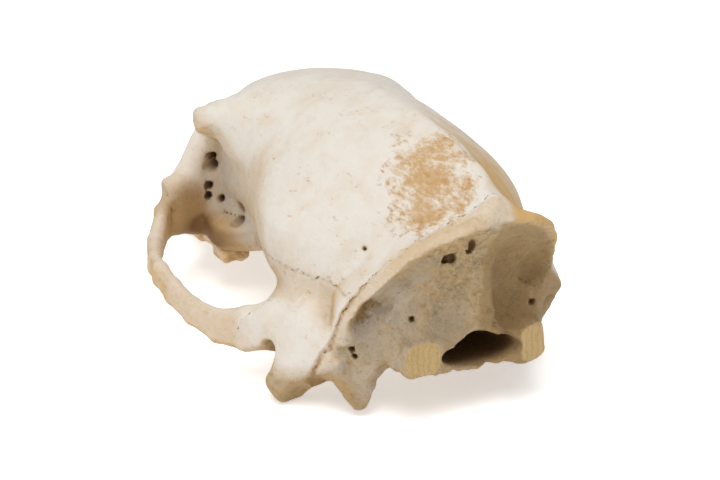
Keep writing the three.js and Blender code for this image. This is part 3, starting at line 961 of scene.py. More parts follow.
        # Painted light: tan held back on spots of the nape.
        tan = np.clip(tan, 0, 1) * (1 - 0.28 * painted_light_spots)
        across = sum(((c - at) / half) ** 2 for c, at, half in zip((x, y), self.stain_at, self.stain_half))
        level = smooth_step(40.0, 48.0, z) * smooth_step(0.1, 0.4, normals[:, 2])
        patch = smooth_step(1.3, 0.1, across) * level
        condyle = np.minimum(*(mirrored(cranium.condyles[s], s).distance(x, y, z) for s in Side))
        bare = smooth_step(0.8, -0.2, condyle) * smooth_step(0.5, 0.9, normals[:, 1])
        rust_and_shade = smooth_step(0.0, -6.0, x) * smooth_step(40.0, 90.0, y) * smooth_step(34.0, 46.0, z)
        # The right back's share is painted shade.
        rust_and_shade = rust_and_shade * (1 - back) + 0.45 * right_back
        rough = np.clip(0.08 + back + 0.4 * parts["under"] + 0.8 * parts["broken"], 0, 1)
        middle = smooth_step(16.0, 28.0, z) * smooth_step(30.0, 20.0, x)
        grey = np.clip(rough - 0.9 * right_back, 0, 1) * (0.3 + 0.7 * middle) * (1 - 0.8 * painted_light_spots)
        hollow_shade = self.hollow_shade(cranium, points, shut, parts)
        suture = self.suture(cranium, points)
        return np.stack([tan, patch, hollow_shade, bare], axis=1), np.stack([suture, rust_and_shade, rough, grey], axis=1)


@dataclass
class Cranium:
    """The bones of the skull, drawn from one field and parted along the sutures."""

    braincase: Hull = Hull(sections((
        (-40, 14, 52, 26, 2.2), (-28, 20, 61, 24, 2.4), (-14, 25, 68, 22, 2.8), (0, 28, 72.4, 18, 2.6),
        (14, 32, 75, 16, 1.9), (30, 38.2, 76, 13, 1.47), (46, 40, 74.5, 12, 1.35),
        (60, 34, 72, 11, 1.4), (72, 26.8, 70, 12, 1.4), (82, 19, 66.5, 14, 1.42),
        (90, 13, 61.8, 17, 1.5), (96, 8, 57, 22, 1.6))), 2.7)
    nose: Hull = Hull(sections((
        (-93, 8, 17, 10.5), (-90, 12, 25, 10.5), (-85, 14.5, 33, 10.5), (-76, 16, 38, 11), (-62, 18, 44, 12),
        (-46, 20, 51, 13), (-30, 22, 60, 14), (-8, 20, 64, 16), (14, 19, 58, 17), (30, 16, 50, 18))), 2.4)
    jaw: Hull = Hull(sections((
        (-92, 10, 18, 10.5), (-84, 18, 22, 10.5), (-72, 17.5, 24, 11), (-56, 20, 26, 12), (-40, 26, 28, 13),
        (-26, 30.2, 26, 11.5), (-17, 29, 24, 12), (-6, 18, 24, 16))), 3.1)
    base: Hull = Hull(sections((
        (-2, 15, 40, 16), (20, 17, 40, 13), (40, 25, 40, 11.5), (60, 31, 40, 11), (74, 27, 38, 11),
        (84, 22, 36, 11), (91, 16, 30, 11.8))), 3.0)
    crests: dict[Side, Ridge] = field(default_factory=lambda: {
        Side.LEFT: Ridge((
            (0, 95, 57, 2.2), (9.2, 99.5, 55, 2.2), (16.4, 95.6, 51.3, 2.1), (21, 91.4, 46.5, 2.1),
            (25, 86.3, 40.5, 2.2), (28.5, 80.5, 33, 2.4), (32, 78, 28, 2.6), (33.5, 74.5, 20.5, 3),
            (35.5, 69, 13.5, 4), (39.5, 64.5, 8, 5.5))),
        Side.RIGHT: Ridge((
            (0, 95, 57, 2.2), (9.2, 99.5, 55, 2.2), (16.4, 95.6, 51.3, 2.2), (20, 91.4, 46.5, 2.2),
            (22, 86.3, 40.5, 2.0), (24, 81.5, 33.5, 2.0), (31.8, 79.4, 27.2, 2.2), (31.4, 75, 21, 2.4),
            (30, 69, 13.5, 3.2), (32.4, 64.5, 8, 4)))})
    crest_beds: dict[Side, Ridge] = field(default_factory=lambda: {
        Side.LEFT: Ridge((
            (0, 88, 53, 6), (9, 92, 50, 6), (17, 88, 45, 6), (23, 81, 36, 7), (28, 75, 28, 7))),
        Side.RIGHT: Ridge((
            (0, 88, 53, 6), (9, 92, 50, 6), (16, 88, 45, 6), (18, 81, 36, 6.2), (23, 74, 28, 6.6)))})
    orbit_rim: Ridge = Ridge((
        (28.5, -20, 60, 3), (25, -31, 56, 4), (24, -37, 48, 4.5), (29, -37, 40, 4.5), (35, -34, 33, 4)))
    nape_ridge: Ridge = Ridge(((0, 94.2, 54, 1.8), (0, 92, 46, 1), (0, 91.2, 37, 1), (0, 90.6, 24, 1.2)))
    nape_face: Ridge = Ridge((
        (0, 103, 48.5, 6), (0, 100.8, 41, 8), (0, 100.2, 31, 8.5), (1, 100, 23.5, 8.5)))
    ridge_flank: Ridge = Ridge((
        (6.5, 99.8, 46.5, 6), (8, 97.6, 41, 7.4), (9.5, 95.6, 35, 8), (11, 94.2, 28.5, 7.4)))
    palate: Ridge = Ridge(((0, -84, 4, 9), (0, -60, 4, 12), (0, -20, 4, 13.5), (0, 0, 6, 13)))
    cheek_peak: Ridge = Ridge(((37.5, -33, 30.5, 2.6), (41, -33, 34, 1.5)))
    cheek_root: Band = Band(((22, -37, 25, 12, 4), (32, -35, 26.4, 10.4, 3.5), (39, -31, 26.6, 9.2, 2.8)))
    arch: Band = Band((
        (31, -34, 26.4, 7, 2.8), (39, -31, 26.8, 8.4, 2.8), (45.2, -27, 23, 6.2, 2.4),
        (52.6, -14, 20, 4.3, 2.2), (58.4, 0, 20.2, 3.7, 2.1), (60.1, 9, 20, 3.7, 2.1),
        (59.8, 18, 17.8, 3.8, 2.1), (58, 28, 15, 4.2, 2.2), (54.4, 37.6, 13.2, 4.9, 2.4),
        (49, 46, 14.6, 6.8, 3), (43, 53, 17, 7, 4), (37, 57, 18, 6, 4)))
    nape: Ovoid = Ovoid((0, 79, 33), (27, 13, 21))
    forehead: Ovoid = Ovoid((0, -6, 60), (29, 26, 11))
    shelf: Ovoid = Ovoid((36, 54, 18), (11, 12, 7))
    brow_root: Ovoid = Ovoid((24.5, -8, 54), (7, 12, 8))
    condyles: dict[Side, Ovoid] = field(default_factory=lambda: {
        Side.LEFT: Ovoid((18.4, 88.5, 17.5), (5.0, 6, 4.5), 4.0),
        Side.RIGHT: Ovoid((16.2, 89, 17.0), (4.6, 6, 5.8), 3.5)})
    worn_faces: dict[Side, Ovoid] = field(default_factory=lambda: {
        Side.LEFT: Ovoid((19.5, 98.4, 18), (11, 7, 10)),
        Side.RIGHT: Ovoid((18, 99.8, 17.5), (10, 7, 11))})
    bulla: Ovoid = Ovoid((20, 58, 12), (9, 12, 5))
    brows: dict[Side, Ridge] = field(default_factory=lambda: {
        Side.LEFT: Ridge(((22, -6, 61, 7), (37.4, -12.3, 59.5, 4.2))),
        Side.RIGHT: Ridge(((22, -6, 60, 7), (34, -12.5, 57.5, 4)))})
    pterygoid: Ridge = Ridge(((10, 2, 15, 3), (11, 24, 11, 3)))
    mastoids: dict[Side, Ridge] = field(default_factory=lambda: {
        Side.LEFT: Ridge(((36, 63, 18, 8), (43.5, 61.5, 3.6, 6))),
        Side.RIGHT: Ridge(((32, 62, 18, 7.5), (32.5, 61.5, 2.1, 4.6)))})
    paroccipitals: dict[Side, Ridge] = field(default_factory=lambda: {
        Side.LEFT: Ridge(((27, 76, 16, 6.5), (29.6, 78.6, 1.0, 2.2), (34, 73, 12, 4.5))),
        Side.RIGHT: Ridge(((24, 76, 17, 6), (25, 78, 12, 3.5)))})
    nape_hollows: dict[Side, Ridge] = field(default_factory=lambda: {
        Side.LEFT: Ridge(((11, 99.5, 45, 6), (15.5, 97.5, 41, 7), (20, 93, 34.5, 7), (22.5, 90.5, 28, 6))),
        Side.RIGHT: Ridge((
            (7.2, 99.5, 46, 6.6), (9, 97, 41, 8.6), (10.6, 94.4, 35, 8.8), (12, 92.6, 28, 7.8)))})
    # Space cleared under the crest's edge, so that the edge is thin.
    under_crests: dict[Side, Ridge] = field(default_factory=lambda: {
        Side.LEFT: Ridge(((8, 101.8, 50.8, 4.6), (15.6, 98.2, 47.4, 4.8), (20.4, 93.6, 42.6, 4.8),
                          (24, 89, 36.8, 4.6), (28.4, 83.6, 30, 4.2), (31.4, 81.4, 24.6, 3.6))),
        Side.RIGHT: Ridge((
            (8, 101.8, 50.4, 4.6), (15, 98, 47, 4.8), (18, 93.6, 42, 4.6), (19.5, 89, 36, 4.6)))})
    side_hollow: Ovoid = Ovoid((29.5, 85.2, 22), (4.6, 5, 5))
    brow_end: Ovoid = Ovoid((48, -14.5, 58.5), (8.4, 16, 15))
    mastoid_break: Ovoid = Ovoid((44, 72, -4), (14, 8.5, 10))
    tear_bone: Ovoid = Ovoid((23, -39.5, 39), (6, 4.5, 10))
    spinal: Ovoid = Ovoid((0, 96, 16.8), (12.6, 30, 4.3))
    spinal_peak: Ovoid = Ovoid((1.0, 96, 18.0), (6.5, 30, 4.6))
    nasal: Ovoid = Ovoid((0, -92, 24), (9.6, 24, 9.4))
    sagittal: Ridge = Ridge(((0, 52, 72.6, 1.0), (0, 70, 70, 1.4), (0, 84, 65.2, 1.8), (0, 95, 58, 2.2)))
    # Openings for nerves and vessels on each side: mouth, inner end and radii.
    passages: tuple[Ridge, ...] = (
        Ridge(((24.6, -29.6, 27.2, 1.0), (19, -32.5, 27, 0.9))),
        Ridge(((22.6, -18.8, 27.2, 1.8), (14, -22.5, 27, 1.6))),
        Ridge(((23.4, -17.6, 22.8, 1.6), (14, -21.5, 23, 1.4))),
        Ridge(((19.8, 90, 26.5, 0.9), (18, 84, 27, 0.7))),
        Ridge(((24, -50, 29, 2.1), (14, -46, 30, 1.8))),
        Ridge(((48, 56.5, 11, 3.4), (30, 57, 14, 2.6))),
        Ridge(((15, 74, 9, 2.4), (14, 72, 16, 1.8))),
        Ridge(((12, 60, 8, 1.5), (12, 62, 14, 1.2))),
        Ridge(((18, 38, 9, 2.0), (17, 40, 16, 1.6))),
        Ridge(((4.2, -82, 8, 1.8), (4.2, -79, 16, 1.5))),
        Ridge(((11, -30, 14, 1.0), (10.5, -28, 20, 0.8))),
    )
    # Openings in the front wall of the orbit, in two upright pairs.
    slits: tuple[Ridge, ...] = (
        Ridge(((26.2, -32.8, 41, 1.4), (19.5, -39, 41.4, 1.3))),
        Ridge(((26.8, -32.4, 37.8, 1.8), (19.5, -38.6, 38, 1.6))),
        Ridge(((27.8, -32.6, 31.6, 1.5), (20, -37.6, 31.4, 1.3))),
        Ridge(((27.8, -32.6, 28.2, 1.5), (20, -37.6, 28.4, 1.3))),
    )
    # Pits and cracks on the left side of the back of the skull.
    pits: tuple[Ridge, ...] = (
        Ridge(((33.6, 79.5, 18.1, 0.9), (31, 77, 18.4, 0.6))),
        Ridge(((32.8, 80, 16.2, 0.8), (30, 77, 16.5, 0.6))),
        Ridge(((32.4, 83.2, 27.9, 0.8), (29.6, 84, 28.1, 0.9))),
        Ridge(((34.2, 80, 22.2, 0.8), (32.6, 81.2, 23.6, 0.8))),
        Ridge(((6.4, 94.4, 50, 1.0), (5.8, 92.0, 47, 0.9))),
        Ridge(((11.4, 92.6, 46.2, 1.5), (9.6, 89.4, 44.4, 1.2))),
        Ridge(((13.2, 91.8, 45.6, 1.2), (12, 88.6, 44, 1.0))),
        Ridge(((27, 73.2, 44.6, 0.6), (25, 71, 43, 0.5))),
    )
    choana: Ridge = Ridge(((0, 14, 14, 6), (0, -14, 22, 5)))
    nose_wall: Ovoid = Ovoid((0, -78, 22), (0.9, 12, 10))
    nose_scrolls: tuple[Ovoid, ...] = (
        Ovoid((4.6, -77, 20.0), (2.0, 8, 1.7)), Ovoid((4.6, -77, 25.0), (2.0, 8, 1.7)))
    # Where the sutures run. The one of the nape starts from a place along and up, leans back by an angle
    # and leans further back above a height.
    nape_foot: tuple[float, float] = (64.0, -12.0)
    nape_lean: float = 0.33
    nape_bend: float = 33.0
    arch_inner: float = 42.5
    arch_back: tuple[float, float] = (46.0, 14.0)
    temple_inner: float = 26.0
    temple_front: float = 33.0
    temple_top: float = 33.0
    snout_back: float = -26.0
    palate_back: float = -9.0
    palate_top: float = 24.0
    # Space left between bones at a suture, and the angle from which an edge is sharp.
    seam_gap: float = 0.015
    crease: float = 62.0
    # Rounds in which vertices move onto a surface, and the longest move of a round.
    settle_rounds: int = 4
    settle_limit: float = 0.4
    grid_low: Point = (-66.0, -98.0, -6.0)
    grid_high: Point = (66.0, 106.0, 81.0)
    weathering_and_shade: WeatheringAndShade = field(default_factory=WeatheringAndShade)

    def fill(self) -> BoneField:
        """Builds the field of the whole skull.

        Returns:
            The finished field.
        """
        bone = BoneField(self.grid_low, self.grid_high, CELL)
        for hull, width in ((self.braincase, 6), (self.nose, 6), (self.jaw, 5), (self.base, 8)):
            bone.join_hull(hull, width)
        bone.join(self.nape, 7)
        bone.join(self.forehead, 10)
        for side in Side:
            for shape, width in ((self.shelf, 8), (self.bulla, 3), (self.brow_root, 6),
                                 (self.crest_beds[side], 6)):
                bone.join(mirrored(shape, side), width)
        for side in Side:
            bone.cut(mirrored(self.nape_hollows[side], side), 4)
        for shape in (self.nape_face, self.ridge_flank, self.palate):
            bone.cut(shape, 3)
        for side in Side:
            self.add_processes(bone, side)
        for side in Side:
            bone.cut(mirrored(self.under_crests[side], side), 1.6)
        bone.cut(self.brow_end, 2.0)
        bone.cut(self.mastoid_break, 0.8)
        bone.join(self.nape_ridge, 2.4)
        bone.join(self.sagittal, 5)
        bone.cut(self.side_hollow, 3)
        self.wear(bone)
        self.open_up(bone)
        return bone

    def open_up(self, bone: BoneField) -> None:
        """Cuts the worn faces, the openings and the pits, and lines the nose.

        Args:
            bone: Field to change.
        """
        for side in Side:
            bone.cut(mirrored(self.worn_faces[side], side), 0.8)
        for side in Side:
            bone.join(mirrored(self.tear_bone, side), 4)
            for slit in self.slits:
                bone.cut(mirrored(slit, side), 0.7)
        for shape, width in ((self.choana, 2), (self.spinal, 1.2), (self.spinal_peak, 1.2),
                             (self.nasal, 2)):
            bone.cut(shape, width)
        bone.join(self.nose_wall, 1.5)
        for side in Side:
            for scroll in self.nose_scrolls:
                bone.join(mirrored(scroll, side), 1.0)
        for side in Side:
            for passage in self.passages:
                bone.cut(mirrored(passage, side), 0.8)
        for pit in self.pits:
            bone.cut(pit, 0.8)

    def add_processes(self, bone: BoneField, side: Side) -> None:
        """Joins the ridges and processes of one side.

        Args:
            bone: Field that takes them.
            side: Side that they stand on.
        """
        for shape, width in (
                (self.brows[side], 6), (self.orbit_rim, 5), (self.cheek_root, 4), (self.cheek_peak, 2),
                (self.pterygoid, 3), (self.mastoids[side], 6), (self.crests[side], 5),
                (self.paroccipitals[side], 5), (self.condyles[side], 4), (self.arch, 3)):
            bone.join(mirrored(shape, side), width)

    def wear(self, bone: BoneField) -> None:
        """Makes the surface uneven as weathered bone is, most on the back of the skull.

        Args:
            bone: Field to change.
        """
        bone.roughen(spacing=9.0, depth=0.3, seed=3, where=lambda x, y, z: np.ones((1, 1, 1)))
        bone.roughen(spacing=4.5, depth=0.75, seed=5, where=self.on_nape)
        bone.roughen(spacing=2.0, depth=0.5, seed=8, where=self.on_nape)
        bone.roughen(spacing=3.4, depth=0.6, seed=11, where=self.on_edge)

    def behind_nape(self, x: Grid, y: Grid, z: Grid) -> Grid:
        """Distance behind the suture that parts the occiput.

        Args:
            x: Places across.
            y: Places along.
            z: Heights.

        Returns:
            Distances in millimetres, negative in front of it.
        """
        foot, floor = self.nape_foot
        rise = z - self.nape_bend
        bend = 0.1 * (np.sqrt(rise ** 2 + 16.0) + rise)
        lean = (y - foot - bend) * math.cos(self.nape_lean) - (z - floor) * math.sin(self.nape_lean)
        return lean + np.zeros_like(x)

    def crest_reach(self, z: Grid) -> Grid:
        """How far out the crest stands at heights."""
        row = sorted((p[2], p[0]) for p in self.crests[Side.LEFT].row)
        return np.interp(z, [r[0] for r in row], [r[1] for r in row])

    def on_nape(self, x: Grid, y: Grid, z: Grid) -> Grid:
        """Share of the rough nape surface.

        Args:
            x: Places across.
            y: Places along.
            z: Heights.

        Returns:
            Numbers: 1 within the crest's outline at the back, 0 outside it.
        """
        reach = self.crest_reach(z) + 3.0 * smooth_step(36.0, 26.0, z)
        within = smooth_step(-0.5, 3.0, reach - np.abs(x))
        return within * smooth_step(60.0, 68.0, y) * smooth_step(60.0, 52.0, z)

    def on_edge(self, x: Grid, y: Grid, z: Grid) -> Grid:
        """Share of the worn edge of the crest and of the processes under it.

        Args:
            x: Places across.
            y: Places along.
            z: Heights.

        Returns:
            Numbers from 0 to 1.
        """
        rim = np.exp(-((self.crest_reach(z) - np.abs(x)) / 3.0) ** 2) * smooth_step(66.0, 74.0, y)
        return np.maximum(rim, smooth_step(14.0, 4.0, z) * smooth_step(48.0, 56.0, y))

    def region(self, which: Bone, x: Grid, y: Grid, z: Grid) -> Grid:
        """Distance to the space that one bone fills.

        Args:
            which: The bone.
            x: Places across.
            y: Places along.
            z: Heights.

        Returns:
            Distances, negative inside.
        """
        # Small waves that make the sutures wander.
        wave = 0.7 * np.sin(y * 0.9 + 0.4 * x) + 0.5 * np.sin(y * 1.9 + z * 0.3)
        ripple = 0.5 * np.sin(x * 1.1 + z * 0.5) + 0.4 * np.sin(x * 0.55 - z * 1.3)
        nape = -(self.behind_nape(x, y, z) + ripple)
        table = {Bone.OCCIPUT: nape}
        for side, arch, temple in ((Side.LEFT, Bone.ARCH_LEFT, Bone.TEMPLE_LEFT),
                                   (Side.RIGHT, Bone.ARCH_RIGHT, Bone.TEMPLE_RIGHT)):
            out = x * side.value
            back = y - self.arch_back[0] - 0.5 * (z - self.arch_back[1])
            table[arch] = np.maximum(self.arch_inner - out, back)
            wall = np.maximum(self.temple_inner - out, self.temple_front - y)
            table[temple] = np.maximum(wall, z - self.temple_top - wave)
        palate = np.maximum(z - self.palate_top, y - self.palate_back)
        table[Bone.SNOUT] = np.minimum(y - self.snout_back + ripple, palate)
        space = table.get(which, np.full_like(nape, -99.0))
        for taken in Bone:
            if taken is which:
                break
            space = np.maximum(space, -table[taken])
        return space

    def settle(self, bone: BoneField, which: Bone, points: Grid) -> Grid:
        """Moves vertices onto the surface and the sutures, so that the edges between bones are crisp.

        Args:
            bone: Field of the skull.
            which: The bone.
            points: Vertices in the skull's own measures.

        Returns:
            The moved vertices.
        """
        reach = 0.6 * bone.cell
        on_bone = np.abs(bone.sample(points)) < reach
        on_seam = np.abs(self.region(which, *points.T)) < reach
        above = points[:, 2] > GROUND + 0.8
        for _ in range(self.settle_rounds):
            rise = bone.slope(points)
            move = self.step_back(bone.sample(points), rise)
            points = points - np.where((on_bone & above)[:, None], move, 0.0)
            here = self.region(which, *points.T)
            ahead = [self.region(which, *(points + 0.1 * e).T) - here for e in np.eye(3)]
            move = self.step_back(here + self.seam_gap, np.stack(ahead, axis=1) / 0.1)
            points = points - np.where((on_seam & above)[:, None], move, 0.0)
        return points

    def step_back(self, distance: Grid, rise: Grid) -> Grid:
        """Move that brings vertices back to a surface.

        Args:
            distance: How far off they are.
            rise: Direction of steepest rise of that distance.

        Returns:
            Moves to take away, none longer than a limit.
        """
        step = distance[:, None] * rise / (np.sum(rise * rise, axis=1, keepdims=True) + 0.05)
        return np.clip(step, -self.settle_limit, self.settle_limit)

    def build(self, bone: BoneField, which: Bone, material: bpy.types.Material) -> bpy.types.Object:
        """Draws and dresses one bone.

        Args:
            bone: Field of the skull.
            which: The bone.
            material: Its finish.

        Returns:
            The new object.
        """
        corners = np.array([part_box(node) for node in which.nodes]) / MM - PLACE
        low, high = corners[:, 0].min(axis=0), corners[:, 1].max(axis=0)
        cuts, (x, y, z) = bone.window(low - 6.0, high + 6.0)
        space = self.region(which, x, y, z)
        values = np.maximum(np.maximum(bone.values[cuts], space), GROUND - z)
        corner = np.array([a[c.start] for a, c in zip(bone.axes, cuts)])
        values = np.pad(values, 1, constant_values=9.0)
        points, faces = skin(values, corner - bone.cell, bone.cell)
        points, faces = largest_piece(points, faces)
        points = self.settle(bone, which, points)
        rise = bone.slope(points)
        normals = rise / (np.linalg.norm(rise, axis=1, keepdims=True) + 1e-9)
        tone, wear = self.weathering_and_shade.tone(self, bone, points, normals)
        piece = mesh_object(which.value + "_bone", points, faces.tolist(), material)
        for name, values in (("tone", tone), ("wear", wear)):
            layer = piece.data.attributes.new(name, "FLOAT_COLOR", "POINT")
            layer.data.foreach_set("color", values.astype(np.float32).ravel())
        piece.data.set_sharp_from_angle(angle=math.radians(self.crease))
        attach(piece, "root")
        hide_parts(*which.nodes)
        return piece


def largest_piece(points: Grid, faces: Grid) -> tuple[Grid, Grid]:
    """Keeps the largest connected piece of a skin.

    Args:
        points: Vertices.
        faces: Rows of four vertex numbers.

    Returns:
        Vertices and faces of that piece.
    """
    label = np.arange(len(points))
    edges = np.concatenate([faces[:, (0, 1)], faces[:, (1, 2)], faces[:, (2, 3)], faces[:, (3, 0)]])
    while True:
        low = np.minimum(label[edges[:, 0]], label[edges[:, 1]])
        fresh = label.copy()
        np.minimum.at(fresh, edges[:, 0], low)
        np.minimum.at(fresh, edges[:, 1], low)
        fresh = fresh[fresh]
        if np.array_equal(fresh, label):
            break
        label = fresh
    names, counts = np.unique(label, return_counts=True)
    keep = label == names[np.argmax(counts)]
    number = np.cumsum(keep) - 1
    return points[keep], number[faces[keep[faces[:, 0]]]]


def mesh_object(name: str, points: Grid, faces: list[Sequence[int]], material: bpy.types.Material,
                place: Grid = PLACE) -> bpy.types.Object:
    """Makes a smooth mesh object in its place.

    Args:
        name: Name of the object.
        points: Vertices in millimetres.
        faces: Vertex numbers of each face.
        material: Its finish.
        place: Where the vertices are measured from.

    Returns:
        The new object, linked to the scene.
    """
    mesh = bpy.data.meshes.new(name)
    mesh.from_pydata(((points + place) * MM).tolist(), [], faces)
    mesh.materials.append(material)
    mesh.polygons.foreach_set("use_smooth", np.ones(len(mesh.polygons), dtype=bool))
    mesh.update()
    return put(name, mesh)


@dataclass(frozen=True)
class Crown:
    """One cheek tooth: place, length, width, depth of crown and its cusps along and across."""

    x: float
    y: float
    length: float
    width: float
    crown: float
    along: int
    across: int


@dataclass
class Teeth:
    """The upper teeth, sunk in their sockets."""

    crowns: tuple[Crown, ...] = (
        Crown(23, -22.5, 11.5, 10.5, 2.9, 3, 2), Crown(21.4, -35.5, 12, 9.2, 3.4, 2, 2),
        Crown(21.5, -48.5, 9.5, 7.5, 6.0, 2, 1), Crown(18.8, -57, 4.5, 3.6, 3.0, 1, 1),
        Crown(17.6, -65, 4.2, 3.4, 2.8, 1, 1), Crown(17, -74, 4.0, 3.4, 3.0, 1, 1))
    root: float = 4.0
    canine_at: Point = (15.4, -82.5, 17.0)
    canine_radius: float = 4.2
    canine_length: float = 19.6
    canine_sweep: float = 3.0
    incisors: int = 3
    incisor_size: Point = (4.4, 4.0, 9.5)
    incisor_turn: float = 1.15 / 3
    incisor_growth: float = 0.12
    incisor_top: float = 15.0
    incisor_arc: tuple[float, float] = (10.6, 6.5)
    incisor_y: float = -84.5

    def ball(self, round_: int, tall: int) -> tuple[Grid, list[tuple[int, ...]]]:
        """A unit ball of rings with closed poles.

        Args:
            round_: Faces around.
            tall: Faces from pole to pole.

        Returns:
            Vertices and faces.
        """
        points: list[Point] = [(0.0, 0.0, 1.0)]
        for i in range(1, tall):
            a = math.pi * i / tall
            turns = [2 * math.pi * j / round_ for j in range(round_)]
            points += [(math.sin(a) * math.cos(t), math.sin(a) * math.sin(t), math.cos(a)) for t in turns]
        points.append((0.0, 0.0, -1.0))
        faces: list[tuple[int, ...]] = [(0, 1 + j, 1 + (j + 1) % round_) for j in range(round_)]
        for i in range(tall - 2):
            a, b = 1 + i * round_, 1 + (i + 1) * round_
            faces += [(a + j, b + j, b + (j + 1) % round_, a + (j + 1) % round_) for j in range(round_)]
        last, end = 1 + (tall - 2) * round_, len(points) - 1
        faces += [(last + j, end, last + (j + 1) % round_) for j in range(round_)]
        return np.array(points), faces

    def cheek_tooth(self, crown: Crown, side: Side, top: float) -> tuple[Grid, list[tuple[int, ...]]]:
        """One cheek tooth with low cusps on its worn face.

        Args:
            crown: Its sizes.
            side: Side of the jaw.
            top: Height of the socket's rim.

        Returns:
            Vertices and faces.
        """
        unit, faces = self.ball(48, 36)
        square = np.sign(unit) * np.abs(unit) ** 0.6
        tall = (crown.crown + self.root) / 2
        cusps = (np.cos(square[:, 1] * math.pi * (crown.along - 0.5)) * 0.5
                 + np.cos(square[:, 0] * math.pi * (crown.across - 0.4)) * 0.5)
        worn = smooth_step(-0.2, -0.8, unit[:, 2])
        z = top - crown.crown + tall + square[:, 2] * tall + worn * (0.75 * cusps + 0.35)
        x = crown.x * side.value + square[:, 0] * crown.width * 0.5 * (1 - 0.08 * worn)
        y = crown.y + square[:, 1] * crown.length * 0.5 * (1 - 0.05 * worn)
        return np.stack([x, y, z], axis=1), faces

    def canine(self, side: Side) -> tuple[Grid, list[tuple[int, ...]]]:
        """One canine tooth that bends back toward its tip.

        Args:
            side: Side of the jaw.

        Returns:
            Vertices and faces.
        """
        unit, faces = self.ball(28, 40)
        t = (1 - unit[:, 2]) / 2
        r = np.sin(np.pi * np.clip(t * 0.5 + 0.22, 0, 1)) * np.sqrt(np.clip(1 - t ** 2.2, 0, 1))
        r = np.where(t < 0.04, t / 0.04 * r, r)
        turn = np.arctan2(unit[:, 1], unit[:, 0])
        x = side.value * (self.canine_at[0] + t * 0.8) + np.cos(turn) * r * self.canine_radius * 0.8
        middle = self.canine_at[1] - self.canine_sweep * np.sin(t * 2.2) * 0.7
        y = middle + np.sin(turn) * r * self.canine_radius
        return np.stack([x, y, self.canine_at[2] - t * self.canine_length], axis=1), faces

    def chisel(self) -> tuple[Grid, list[tuple[int, ...]]]:
        """One front tooth at the origin, a small chisel that hangs from its root.

        Returns:
            Vertices and faces.
        """
        unit, faces = self.ball(24, 20)
        thin = np.where(unit[:, 2] < 0, 1 + unit[:, 2] * 0.45, 1.0)
        square = np.sign(unit) * np.abs(unit) ** 0.8 * np.array(self.incisor_size) * 0.5
        square[:, 1] *= thin
        square[:, 2] -= self.incisor_size[2] * 0.5
        return square, faces

    def row_tree(self) -> bpy.types.NodeTree:
        """Tree that sets copies of one tooth along the arc of the front jaw, larger to the sides.

        Returns:
            The tree, with the tooth, the count, the sizes of the arc and the finish as inputs.
        """
        tree = bpy.data.node_groups.new("incisor_row", "GeometryNodeTree")
        for name, kind in (("Tooth", "Geometry"), ("Count", "Int"), ("Turn", "Float"), ("Width", "Float"),
                           ("Depth", "Float"), ("Growth", "Float"), ("Finish", "Material")):
            tree.interface.new_socket(name, in_out="INPUT", socket_type="NodeSocket" + kind)
        tree.interface.new_socket("Row", in_out="OUTPUT", socket_type="NodeSocketGeometry")
        given = add_node(tree, "NodeGroupInput").outputs
        line = add_node(tree, "GeometryNodeMeshLine", {"Count": given["Count"]})
        index = add_node(tree, "GeometryNodeInputIndex")
        middle = add_node(tree, "ShaderNodeMath", {0: given["Count"], 1: 0.5, 2: -0.5},
                          operation="MULTIPLY_ADD")
        step = add_node(tree, "ShaderNodeMath", {0: index, 1: middle}, operation="SUBTRACT")
        turn = add_node(tree, "ShaderNodeMath", {0: step, 1: given["Turn"]}, operation="MULTIPLY")
        sine = add_node(tree, "ShaderNodeMath", {0: turn}, operation="SINE")
        cosine = add_node(tree, "ShaderNodeMath", {0: turn}, operation="COSINE")
        across = add_node(tree, "ShaderNodeMath", {0: sine, 1: given["Width"]}, operation="MULTIPLY")
        ahead = add_node(tree, "ShaderNodeMath", {0: cosine, 1: given["Depth"]}, operation="MULTIPLY")
        front = add_node(tree, "ShaderNodeMath", {0: ahead, 1: -1.0}, operation="MULTIPLY")
        place = add_node(tree, "ShaderNodeCombineXYZ", {"X": across, "Y": front})
        arc = add_node(tree, "GeometryNodeSetPosition", {"Geometry": line, "Position": place})
        far = add_node(tree, "ShaderNodeMath", {0: step}, operation="ABSOLUTE")
        more = add_node(tree, "ShaderNodeMath", {0: far, 1: -0.5}, operation="ADD")
        grow = add_node(tree, "ShaderNodeMath", {0: more, 1: given["Growth"], 2: 1.0},
                        operation="MULTIPLY_ADD")
        size = add_node(tree, "ShaderNodeCombineXYZ", {"X": grow, "Y": 1.0, "Z": grow})
        row = add_node(tree, "GeometryNodeInstanceOnPoints", {
            "Points": arc, "Instance": given["Tooth"], "Scale": size})
        whole = add_node(tree, "GeometryNodeRealizeInstances", {"Geometry": row})
        dressed = add_node(tree, "GeometryNodeSetMaterial", {
            "Geometry": whole, "Material": given["Finish"]})
        add_node(tree, "NodeGroupOutput", {"Row": dressed})
        return tree

    def front(self, material: bpy.types.Material) -> bpy.types.Object:
        """Builds the row of front teeth.

        Args:
            material: Their finish.

        Returns:
            The new object.
        """
        points, faces = self.chisel()
        piece = mesh_object("front_teeth", points, faces, material, np.zeros(3))
        row = piece.modifiers.new("row", "NODES")
        row.node_group = self.row_tree()
        values = {"Count": 2 * self.incisors, "Turn": self.incisor_turn, "Width": self.incisor_arc[0] * MM,
                  "Depth": self.incisor_arc[1] * MM, "Growth": self.incisor_growth, "Finish": material}
        for socket in row.node_group.interface.items_tree:
            if socket.name in values:
                row[socket.identifier] = values[socket.name]
        ready = piece.evaluated_get(bpy.context.evaluated_depsgraph_get())
        whole = bpy.data.meshes.new_from_object(ready)
        piece.modifiers.remove(row)
        piece.data = whole
        shift = (np.array([0.0, self.incisor_y, self.incisor_top]) + PLACE) * MM
        whole.transform(Matrix.Translation(Vector(shift)))
        self.hold(piece)
        return piece

